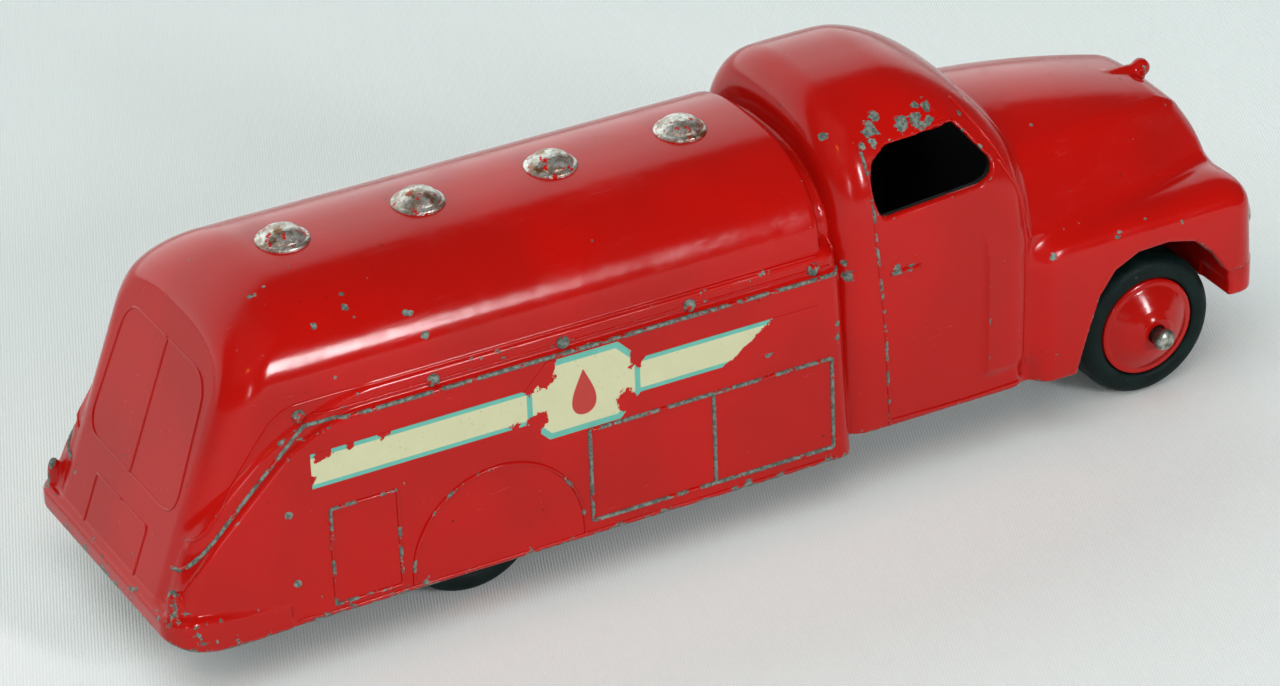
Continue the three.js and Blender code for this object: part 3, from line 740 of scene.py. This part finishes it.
def casting_object(name, material):
    """The casting's mesh, dense where it curves and thin where it is plain, with the field's own normals."""
    step = 0.3
    points, quads = surface(casting, (REAR - 1, 0, 4), (FRONT + 1, 15.5, 38.5), step)
    points = settle(casting, points)
    made = mesh_object(name, points, quads, material)
    thin = made.modifiers.new("thin", "DECIMATE")
    thin.ratio = min(1.0, BODY_TRIANGLES / (2 * len(quads)))
    graph = bpy.context.evaluated_depsgraph_get()
    thinned = bpy.data.meshes.new_from_object(made.evaluated_get(graph))
    made.modifiers.clear()
    made.data = thinned
    points = settle(casting, coordinates(thinned))
    thinned.vertices.foreach_set("co", (points * MM).astype(np.float32).ravel())
    thinned.update()
    slope = gradient(casting, points)
    normals = slope / np.maximum(np.linalg.norm(slope, axis=1, keepdims=True), 1e-6)
    thinned.normals_split_custom_set_from_vertices(normals.tolist())
    around = [casting(points + s) for s in np.concatenate([np.eye(3), -np.eye(3)]) * 0.3]
    sharpness = (np.sum(around, 0) - 6 * casting(points)) / 0.09
    x, y, z = points[:, 0], np.abs(points[:, 1]), points[:, 2]
    outer = np.abs(normals[:, 1]) + np.abs(normals[:, 0]) > 0.3
    low = smooth((6.4 + 2.2 * smooth((-48 - x) / 8) - z) / 1.2) * outer
    edges = (sharpness > EDGE_WEAR["from"]) * np.minimum(EDGE_WEAR["by"] * sharpness, 0.32)
    wear = edges + BOTTOM_WEAR * low * (x < 12)
    for u, v, w, r, amount in RUBBED:
        wear += amount * smooth(1.4 - np.hypot(np.hypot(x - u, y - v), z - w) / r)
    point_attribute(thinned, "wear", wear)
    # The inside attribute marks the hollow, which the enamel makes near-black as painted shade.
    within = casting_outside(x, y, z, True)
    point_attribute(thinned, "inside", smooth((-within - 0.3) / 0.4))
    return made


# ---------- raised lines and small parts ----------
VIEWS = {
    "side": (lambda u, v: (u, 20, v), (0, -1, 0)),
    "back": (lambda u, v: (REAR - 4, u, v), (1, 0, 0)),
    "front": (lambda u, v: (FRONT + 4, u, v), (-1, 0, 0)),
    "top": (lambda u, v: (u, v, 42), (0, 0, -1)),
}


def seated(path, view):
    """Where the points of a path, drawn in a view of the truck, lie on the casting, and its normals there."""
    start, direction = VIEWS[view]
    points = np.array([start(u, v) for u, v in path], float)
    for _ in range(90):
        points += np.array(direction) * casting(points)[:, None] * 0.85
    slope = gradient(casting, points)
    return points, slope / np.linalg.norm(slope, axis=1, keepdims=True)


def resampled(path, step=0.35):
    path = np.array(path, float)
    length = np.concatenate([[0], np.cumsum(np.linalg.norm(np.diff(path, axis=0), axis=1))])
    at = np.linspace(0, length[-1], max(4, int(length[-1] / step)))
    return np.stack([np.interp(at, length, path[:, i]) for i in range(path.shape[1])], 1)


def bead(path, width, height, view="side"):
    """A raised line on the casting, rounded over and fading into the metal at its ends."""
    at, normal = seated(resampled(path), view)
    along = np.gradient(at, axis=0)
    across = np.cross(normal, along)
    across /= np.linalg.norm(across, axis=1, keepdims=True)
    to_end = np.minimum(np.arange(len(at)), np.arange(len(at))[::-1]) * 0.35
    rise = height * np.sqrt(np.minimum(1, (0.1 + to_end) / width))
    angles = np.linspace(0, np.pi, 7)
    sink = 0.08
    rings = [
        at + across * (math.cos(a) * width / 2) + normal * (math.sin(a) * (rise + sink) - sink)[:, None]
        for a in angles
    ]
    return tube(np.stack(rings, 1))


def circle_arc(x, z, r, start, end, steps=40):
    angles = np.radians(np.linspace(start, end, steps))
    return [(x + r * math.cos(a), z + r * math.sin(a)) for a in angles]


def box_path(x0, z0, x1, z1):
    middle = (x0 + x1) / 2
    return [(middle, z0), (x0, z0), (x0, z1), (x1, z1), (x1, z0), (middle, z0)]


# Lines that the casting has on each side, as (wear, width, height, path).
SIDE_LINES = [
    (0.7, 0.42, 0.18, [(10.6, 23.85), (-41.9, 23.85), (-42.6, 23.3), (-47.8, 18.3), (-53.9, 12.3)]),
    (0.12, 0.3, 0.12, [(8.4, 25.75), (-42.6, 25.8), (-43.8, 25.5), (-44.9, 24.7), (-46.9, 22.2),
                       (-49.2, 19), (-51.2, 16.2), (-52.8, 14.9)]),
    (0.30, 0.26, 0.12, [(9.5, 24.6), (-41.0, 24.6)]),
    (0.5, 0.38, 0.22, box_path(-40.3, 6.1, -33.9, 15.5)),
    (0.30, 0.38, 0.22, [(-32.8, 5.5)] + circle_arc(-24.4, 6.4, 8.4, 180, 0) + [(-16.0, 5.5)]),
    (0.74, 0.42, 0.24, box_path(-15.2, 6.55, 9.3, 15.6)),
    (0.9, 0.42, 0.24, [(-2.8, 6.6), (-2.8, 15.5)]),
    (0.34, 0.28, 0.13, [(-44.0, 5.65), (-41.0, 5.45), (9.4, 5.45)]),
    (0.46, 0.36, 0.15, [(14.0, 33.9), (14.1, 30.0), (14.2, 25.9), (14.8, 20.5), (15.2, 16.4), (15.7, 6.5)]),
    (0.14, 0.32, 0.16, [(25.0, 34.9), (26.2, 33.1), (27.7, 30.6), (28.9, 28.1), (29.7, 25.4),
                        (30.1, 22.6), (30.1, 15.1), (30.0, 7.4)]),
    (0.12, 0.45, 0.22, [(27.7, 29.8), (29.4, 26.6), (30.4, 23.6), (30.8, 21.0)]),
    (0.52, 0.5, 0.34, [(15.7, 22.05), (18.8, 22.05)]),
    (0.22, 0.34, 0.18, [(15.7, 6.9), (24.0, 6.75), (29.4, 6.9)]),
]
BACK_LINES = [
    (0.04, 0.3, 0.13, filleted([(0, 15.9), (9.0, 15.9), (8.0, 27.9), (0, 27.9)], 2.6, 8, False)),
    (0.04, 0.3, 0.13, [(5.2, 9.1), (5.2, 13.4), (0, 13.4)]),
]
BACK_MIDDLE = (0.04, 0.3, 0.13, [(0, 15.9), (0, 27.8)])


def raised_lines(material):
    parts, wear = [], []

    def add(amount, *beads):
        for points, faces in beads:
            parts.append((points, faces))
            wear.append(np.full(len(points), amount))

    for lines, view in ((SIDE_LINES, "side"), (BACK_LINES, "back")):
        for amount, width, height, path in lines:
            one = bead(path, width, height, view)
            add(amount, one, mirrored(one))
    amount, width, height, path = BACK_MIDDLE
    add(amount, bead(path, width, height, "back"))
    made = solid_object("raised_lines", parts, material, wear=np.concatenate(wear))
    rides(made, "truck", "red_enamel")


RIVETS = {"first": -42.2, "pitch": 12.507, "count": 5, "z": 24.66, "radius": 0.62}
CAPS = {"first": -37.07, "pitch": 12.995, "count": 4}


def dome(radius, height, root, at, axis, segments=40):
    """A low dome with a rounded foot, sunk into the metal by root."""
    angles = np.linspace(0, math.pi / 2, 10)
    curve = [(radius * math.cos(a), height * math.sin(a)) for a in angles[:-1]]
    profile = [(radius, -root), *curve, (0, height)]
    return turned([(0, -root), *profile], at, axis, segments, looped=False)


def rivet_heads(material):
    parts = []
    for i in range(RIVETS["count"]):
        at, normal = seated([(RIVETS["first"] + i * RIVETS["pitch"], RIVETS["z"])], "side")
        one = dome(RIVETS["radius"], 0.5, 0.3, at[0], normal[0])
        parts += [one, mirrored(one)]
    made = solid_object("rivet_heads", parts, material)
    rides(made, "truck", "red_enamel")


def filler_caps(material):
    """Low domed caps along the top of the tank, each with a stepped rim."""
    profile = [
        (0, -0.5), (2.42, -0.5), (2.42, 0.12), (2.3, 0.27), (2.04, 0.32), (1.93, 0.52), (1.5, 0.94),
        (0.8, 1.22), (0, 1.3),
    ]
    for i in range(CAPS["count"]):
        at, normal = seated([(CAPS["first"] + i * CAPS["pitch"], 0.0)], "top")
        part = turned(filleted(profile, 0.16, 3, False), at[0], normal[0], 64, looped=False)
        made = solid_object(f"filler_cap_{i + 1}", [part], material)
        rides(made, "truck", None)


def front_trim(material):
    """The headlamps and the grille bars, picked out in silver."""
    lamp = [(0, -1), (1.95, -1), (1.95, 0.2), (1.75, 0.4), (1.6, 0.32), (1.45, 0.24), (0.9, 0.42), (0, 0.5)]
    at, _ = seated([(10.4, 16.4)], "front")
    seat = at[0] - np.array([0.1, 0, 0])
    lamp_part = turned(filleted(lamp, 0.14, 3, False), seat, (1, 0, 0), 56, looped=False)
    parts = [lamp_part, mirrored(lamp_part)]
    for i in range(5):
        z = 13.6 + 1.35 * i
        half = 6.6 - 0.35 * abs(i - 1)
        parts.append(bead([(-half, z), (half, z)], 0.6, 0.18, "front"))
    made = solid_object("front_trim", parts, material)
    rides(made, "truck", None)


# ---------- baseplate ----------
PLATE = {"thickness": 0.5, "half": 11.2, "waist": 4.9, "rear": -47, "shoulder": 28, "front": 50, "notch": 8.2}
EAR_FOLD = {"inner": 4.4, "thickness": 0.5, "half_length": 2.4}


def plate_object(material, axles):
    low, high = (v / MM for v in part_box("baseplate"))
    bottom, ear_top = low.z, high.z
    rear_x, front_x = axles["rear"], axles["front"]
    half, waist, notch = PLATE["half"], PLATE["waist"], PLATE["notch"]
    edge = [
        (PLATE["rear"], half), (rear_x - notch, half), (rear_x - notch, waist), (rear_x + notch, waist),
        (rear_x + notch, half), (PLATE["shoulder"], half), (front_x - notch, waist), (PLATE["front"], waist),
    ]
    outline = filleted([(x, -y) for x, y in edge] + edge[::-1], 1.1, 5)

    def flat(uv, depth):
        return np.column_stack([uv, np.full(len(uv), depth)])

    def upright(uv, depth):
        return np.column_stack([uv[:, 0], np.full(len(uv), depth), uv[:, 1]])

    parts = [slab(outline, bottom, bottom + PLATE["thickness"], 0.12, flat)]
    for x in axles.values():
        reach = EAR_FOLD["half_length"]
        back, front, foot = x - reach, x + reach, bottom + 0.2
        ear = filleted([(back, foot), (front, foot), (front, ear_top), (back, ear_top)], 1.8, 6)
        one = slab(ear, EAR_FOLD["inner"], EAR_FOLD["inner"] + EAR_FOLD["thickness"], 0.1, upright)
        fold = [(x - reach + 0.3, bottom + 0.1), (x + reach - 0.3, bottom + 0.1)]
        centre = EAR_FOLD["inner"] + 0.1
        turns = np.linspace(0, 2 * math.pi, 14, endpoint=False)
        roll = tube(np.stack([
            np.array([(u, centre + 0.42 * math.cos(a), v + 0.36 + 0.42 * math.sin(a)) for a in turns])
            for u, v in resampled(fold, 0.5)
        ]))
        parts += [one, mirrored(one), roll, mirrored(roll)]
    for x0, x1, y in ((-14, 22, 0.0), (-14, 22, 7.4), (-14, 22, -7.4)):
        angles = np.linspace(math.pi, 2 * math.pi, 9)
        stations = resampled([(x0, y), (x1, y)], 0.8)
        fade = np.sqrt(np.clip(np.minimum(stations[:, 0] - x0, x1 - stations[:, 0]) / 1.5, 0.02, 1))
        rings = [
            np.array([(u, v + 0.9 * f * math.cos(a), bottom + 0.1 + 0.5 * f * math.sin(a)) for a in angles])
            for (u, v), f in zip(stations, fade)
        ]
        parts.append(tube(np.stack(rings)))
    made = solid_object("baseplate_panel", parts, material, sharp=50)
    points = coordinates(made.data)
    rim = np.minimum(np.abs(polygon(points[:, 0], points[:, 1], outline)), 1)
    point_attribute(made.data, "wear", 0.34 * (1 - rim))
    rides(made, "truck", "black_enamel", "baseplate")


def plate_rivets(material):
    """The casting's two posts, spun over under the plate."""
    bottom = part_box("baseplate")[0].z / MM
    profile = [
        (0, -0.6), (1.7, -0.6), (1.72, 0.1), (1.5, 0.32), (0.95, 0.42), (0.6, 0.3), (0.3, 0.16), (0, 0.12),
    ]
    for name, x in zip(("rear", "front"), POSTS):
        part = turned(filleted(profile, 0.15, 3, False), (x, 0, bottom), (0, 0, -1), 48, looped=False)
        made = solid_object(f"plate_rivet_{name}", [part], material)
        point_attribute(made.data, "wear", np.full(len(made.data.vertices), 0.75))
        rides(made, "truck", "red_enamel")


# ---------- wheels ----------
# Profiles as (radius, distance outwards from the rim's outer face).
HUB = [
    (0.9, -4.4), (4.6, -4.4), (4.84, -4.2), (4.84, -3.8), (4.15, -3.6), (4.15, -0.8), (4.84, -0.6),
    (4.84, -0.05), (4.5, 0.1), (4.25, 0.12), (3.9, 0.36), (3.2, 0.82), (2.4, 1.26), (1.75, 1.52),
    (1.5, 1.68), (0.9, 1.7),
]
TYRE = [
    (4.25, -0.95), (4.92, -0.72), (5.0, -0.05), (5.25, 0.1), (5.9, 0.16), (6.45, 0.02), (6.83, -0.32),
    (7.0, -0.85), (7.06, -1.5), (6.98, -1.9), (6.9, -2.0), (6.9, -2.4), (6.98, -2.5), (7.06, -2.9),
    (7.0, -3.55), (6.83, -4.08), (6.45, -4.42), (5.9, -4.56), (5.25, -4.5), (5.0, -4.35), (4.92, -3.68),
    (4.25, -3.45),
]


def wheel(label, hub_material, tyre_material):
    hub_low, hub_high = (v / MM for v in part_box(f"{label}_hub"))
    side = 1 if hub_low.y > 0 else -1
    rim = (hub_low.y if side > 0 else hub_high.y) + side * 4.4
    centre = ((hub_low.x + hub_high.x) / 2, rim, (hub_low.z + hub_high.z) / 2)
    segments = 96
    hub_part = turned(filleted(HUB, 0.12, 3), centre, (0, side, 0), segments)
    hub = solid_object(f"{label}_wheel_hub", [hub_part], hub_material)
    points = coordinates(hub.data)
    radius = np.hypot(points[:, 0] - centre[0], points[:, 2] - centre[2])
    wear = 0.2 * smooth((radius - 4.4) / 0.3) + 0.16 * smooth((1.7 - radius) / 0.3)
    point_attribute(hub.data, "wear", wear)
    rides(hub, f"{label}_wheel", "hub_enamel", f"{label}_hub")
    tyre_part = turned(filleted(TYRE, 0.2, 3), centre, (0, side, 0), segments)
    tyre = solid_object(f"{label}_wheel_tyre", [tyre_part], tyre_material)
    rides(tyre, f"{label}_wheel", "rubber", f"{label}_tyre")


def axle(end, material):
    low, high = (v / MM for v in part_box(f"{end}_axle"))
    centre = ((low.x + high.x) / 2, 0, (low.z + high.z) / 2)
    cap = [(0, 0), (0.5, 0.06), (0.85, 0.2), (1.04, 0.45), (1.04, 0.85), (0.8, 0.95)]
    head = [(r, high.y - down) for r, down in cap]
    profile = [(r, -h) for r, h in head] + [(r, h) for r, h in head[::-1]]
    made = solid_object(f"{end}_axle_rod", [turned(profile, centre, (0, 1, 0), 48, looped=False)], material)
    rides(made, f"{end}_axle_set", "axle_steel", f"{end}_axle")


# ---------- transfers ----------
STRIP = {"rear": -41.8, "front": 8.0, "low": 17.95, "high": 21.3}
BADGE = [
    (-5.6, -1.7), (-3.5, -3.8), (3.5, -3.8), (5.6, -1.7), (5.6, 1.7), (3.5, 3.8), (-3.5, 3.8), (-5.6, 1.7),
]
BADGE_AT = (-15.6, 19.7)
HOLES = [(-19.6, 22.6, 1.5), (-20.3, 18.0, 0.9), (-11.4, 17.5, 1.0), (-10.3, 21.4, 0.8), (-40.6, 21.3, 0.9),
         (-38.0, 21.5, 0.6), (-35.0, 21.4, 0.5), (-22.2, 17.9, 0.5), (-21.0, 21.4, 0.6), (-41.9, 18.8, 0.5)]


def drop_outline(x, z):
    """A plain drop, round below and pointed above."""
    angles = np.linspace(0, 2 * np.pi, 40, endpoint=False)
    width = np.sin(angles) * np.sin(angles / 2) ** 1.6
    return [(x + 1.75 * w, z + 2.3 * math.cos(a)) for w, a in zip(width, angles)]


def transfer(label, side, material):
    """A thin film that follows the skirt, a long band widened by a cut-cornered badge."""
    columns = 340
    xs = np.linspace(STRIP["rear"], STRIP["front"], columns)
    badge = [(x + BADGE_AT[0], z + BADGE_AT[1]) for x, z in BADGE]
    half = np.interp(xs, [badge[0][0], badge[1][0], badge[2][0], badge[3][0]], [1.7, 3.8, 3.8, 1.7], 0, 0)
    high = np.maximum(STRIP["high"], BADGE_AT[1] + half)
    low = np.minimum(STRIP["low"], BADGE_AT[1] - half)
    rows = 40
    v = np.linspace(0, 1, rows)
    x = np.repeat(xs, rows)
    z = (low[:, None] + (high - low)[:, None] * v).ravel()
    at, normal = seated(np.stack([x, z], 1), "side")
    index = np.arange(columns * rows).reshape(columns, rows)
    quads = np.stack([index[:-1, :-1], index[1:, :-1], index[1:, 1:], index[:-1, 1:]], -1).reshape(-1, 4)
    rim = np.concatenate([index[:, 0], index[-1, 1:], index[::-1, -1][1:], index[0, ::-1][1:-1]])
    skin = len(at)
    points = np.concatenate([at + normal * 0.045, at - normal * 0.02])
    walls = [(a, b, b + skin, a + skin) for a, b in zip(rim, np.roll(rim, -1))]
    part = (points, quads.tolist() + (quads[:, ::-1] + skin).tolist() + walls)
    made = solid_object(f"transfer_{label}_film", [mirrored(part) if side < 0 else part], material, sharp=40)
    points = coordinates(made.data)
    x, z = points[:, 0], points[:, 2]
    inside_band = np.maximum(z - STRIP["high"], STRIP["low"] - z)
    inside_badge = polygon(x, z, badge)
    ring = 0.27 - np.abs(inside_badge + 0.3)
    point_attribute(made.data, "border", np.maximum(ring, np.minimum(inside_band + 0.4, inside_badge * 2)))
    point_attribute(made.data, "drop", -polygon(x, z, drop_outline(*BADGE_AT)))
    tear = x - 0.9 - (z - 19.6) * 1.5
    holes = [r - np.hypot(x - u, z - w) for u, w, r in HOLES]
    point_attribute(made.data, "torn", np.clip(np.max([tear, *holes], 0), -3, 3))
    rides(made, "truck", "transfer", f"transfer_{label}")


# ---------- stage, lights and camera ----------
# Fitted to the photograph's view.
CAMERA = {
    "azimuth": -28.334, "elevation": 29.863, "roll": -1.342, "distance": 480.0, "target": (0.54, 5.82, 10.07),
}
FOCAL = 5243.6 / 1280  # focal length over the picture's width


def camera():
    a, e, roll = (math.radians(CAMERA[k]) for k in ("azimuth", "elevation", "roll"))
    back = Vector((math.sin(a) * math.cos(e), -math.cos(a) * math.cos(e), math.sin(e)))
    level = Vector((0, 0, 1)).cross(back).normalized()
    upright = back.cross(level)
    right = level * math.cos(roll) + upright * math.sin(roll)
    up = upright * math.cos(roll) - level * math.sin(roll)
    data = bpy.data.cameras.new("camera")
    data.sensor_width = 36
    data.lens = FOCAL * data.sensor_width
    data.clip_start, data.clip_end = 0.01, 20
    made = bpy.data.objects.new("camera", data)
    place = (Vector(CAMERA["target"]) + back * CAMERA["distance"]) * MM
    made.matrix_world = Matrix.Translation(place) @ Matrix((right, up, back)).transposed().to_4x4()
    bpy.context.scene.collection.objects.link(made)
    bpy.context.scene.camera = made


def area_light(name, towards, distance, size, power, colour=(1, 1, 1), aim=(0, 0, 15)):
    """A soft light in a direction from the truck, facing it."""
    data = bpy.data.lights.new(name, "AREA")
    data.shape = "RECTANGLE"
    data.size, data.size_y = size[0] * MM, size[1] * MM
    data.energy = power
    data.color = colour
    made = bpy.data.objects.new(name, data)
    direction = Vector(towards).normalized()
    made.location = (Vector(aim) + direction * distance) * MM
    made.rotation_euler = (-direction).to_track_quat("-Z", "Y").to_euler()
    bpy.context.scene.collection.objects.link(made)
    return made


# A pale backdrop behind the truck with a clear edge, which the paint mirrors, in a dim room.
SKY = {
    "towards": (-0.1, 0.85, -0.1), "edge": (0.41, 0.46), "dim": 0.09, "near": 1.2, "far": 2.0,
    "colour": (0.83, 0.94, 0.93),
}


def studio():
    world = bpy.data.worlds.new("studio")
    bpy.context.scene.world = world
    world.use_nodes = True
    nodes, links = world.node_tree.nodes, world.node_tree.links
    place = nodes.new("ShaderNodeTexCoord")
    facing = nodes.new("ShaderNodeVectorMath")
    facing.operation = "DOT_PRODUCT"
    facing.inputs[1].default_value = Vector(SKY["towards"]).normalized()
    links.new(place.outputs["Generated"], facing.inputs[0])
    level, edge = nodes.new("ShaderNodeMapRange"), nodes.new("ShaderNodeMapRange")
    links.new(facing.outputs["Value"], level.inputs["Value"])
    links.new(facing.outputs["Value"], edge.inputs["Value"])
    links.new(level.outputs[0], edge.inputs["To Max"])
    for i, value in enumerate((SKY["edge"][1], 0.9, SKY["near"], SKY["far"])):
        level.inputs[i + 1].default_value = value
    for i, value in enumerate((*SKY["edge"], SKY["dim"])):
        edge.inputs[i + 1].default_value = value
    links.new(edge.outputs[0], nodes["Background"].inputs["Strength"])
    nodes["Background"].inputs["Color"].default_value = (*SKY["colour"], 1)
    area_light("window", (0.285, -0.88, 0.37), 900, (105, 220), 3.5, (1, 0.98, 1))
    area_light("side_window", (-0.42, -0.88, 0.22), 900, (35, 150), 0.6, (1, 0.98, 1))
    area_light("warm_lamp", (-0.5, -0.5, 0.7), 900, (30, 30), 0.3, (1, 0.36, 0.05))
    fill = area_light("soft_fill", (-0.45, -0.35, 0.82), 1300, (1500, 1500), 14.5, (0.97, 1, 1))
    fill.visible_glossy = False
    bpy.context.scene.view_settings.view_transform = "Standard"


def floor():
    """A pale woven cloth."""
    s = Shading("pale_cloth")
    turn = {"Vector": s.mm, "Angle": math.radians(CAMERA["azimuth"])}
    turned_mm = s.node("ShaderNodeVectorRotate", turn, rotation_type="Z_AXIS").outputs[0]
    count = {0: turned_mm, 1: (14, 17, 0)}
    thread = s.node("ShaderNodeVectorMath", count, operation="MULTIPLY").outputs[0]
    axes = s.node("ShaderNodeSeparateXYZ", {0: thread})
    warp = s.calc("SINE", axes.outputs[0])
    weft = s.calc("SINE", axes.outputs[1])
    weave = s.calc("MULTIPLY", warp, weft)
    tone = s.mix(s.noise(60, 3), (0.80, 0.85, 0.84), (0.85, 0.88, 0.87))
    tone = s.mix(s.step(weave, -1, 1, 0, 0.2), tone, (0.55, 0.63, 0.63))
    height = s.calc("MULTIPLY_ADD", weave, 0.02, s.calc("MULTIPLY", s.noise(0.25, 2), 0.03))
    cloth = s.surface(base_color=tone, roughness=0.95, specular_ior_level=0.2, normal=s.bump(height))
    material = s.done(cloth)
    reach = 4000
    corners = [(-reach, -reach, 0), (reach, -reach, 0), (reach, reach, 0), (-reach, reach, 0)]
    mesh_object("cloth_floor", corners, [(0, 1, 2, 3)], material)


# ---------- the truck ----------
red_body = enamel("red_enamel", 0.0, CHIPS)
red_lines = enamel("red_enamel_lines")
red_hub = enamel("hub_enamel")
silver = silver_paint("silver_paint")
rubber = tyre_rubber()
steel = axle_steel()
film = transfer_film()

rides(casting_object("body_shell", red_body), "truck", "red_enamel", "body_casting")
raised_lines(red_lines)
rivet_heads(enamel("rivet_enamel", 0.72))
filler_caps(silver)
front_trim(silver)
axle_boxes = {end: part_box(f"{end}_axle") for end in ("rear", "front")}
axle_lines = {end: (low.x + high.x) / 2 / MM for end, (low, high) in axle_boxes.items()}
plate_object(black_enamel(), axle_lines)
plate_rivets(red_lines)
for end in ("front", "rear"):
    axle(end, steel)
    for side in ("left", "right"):
        wheel(f"{end}_{side}", red_hub, rubber)
transfer("right", -1, film)
transfer("left", 1, film)
floor()
studio()
camera()
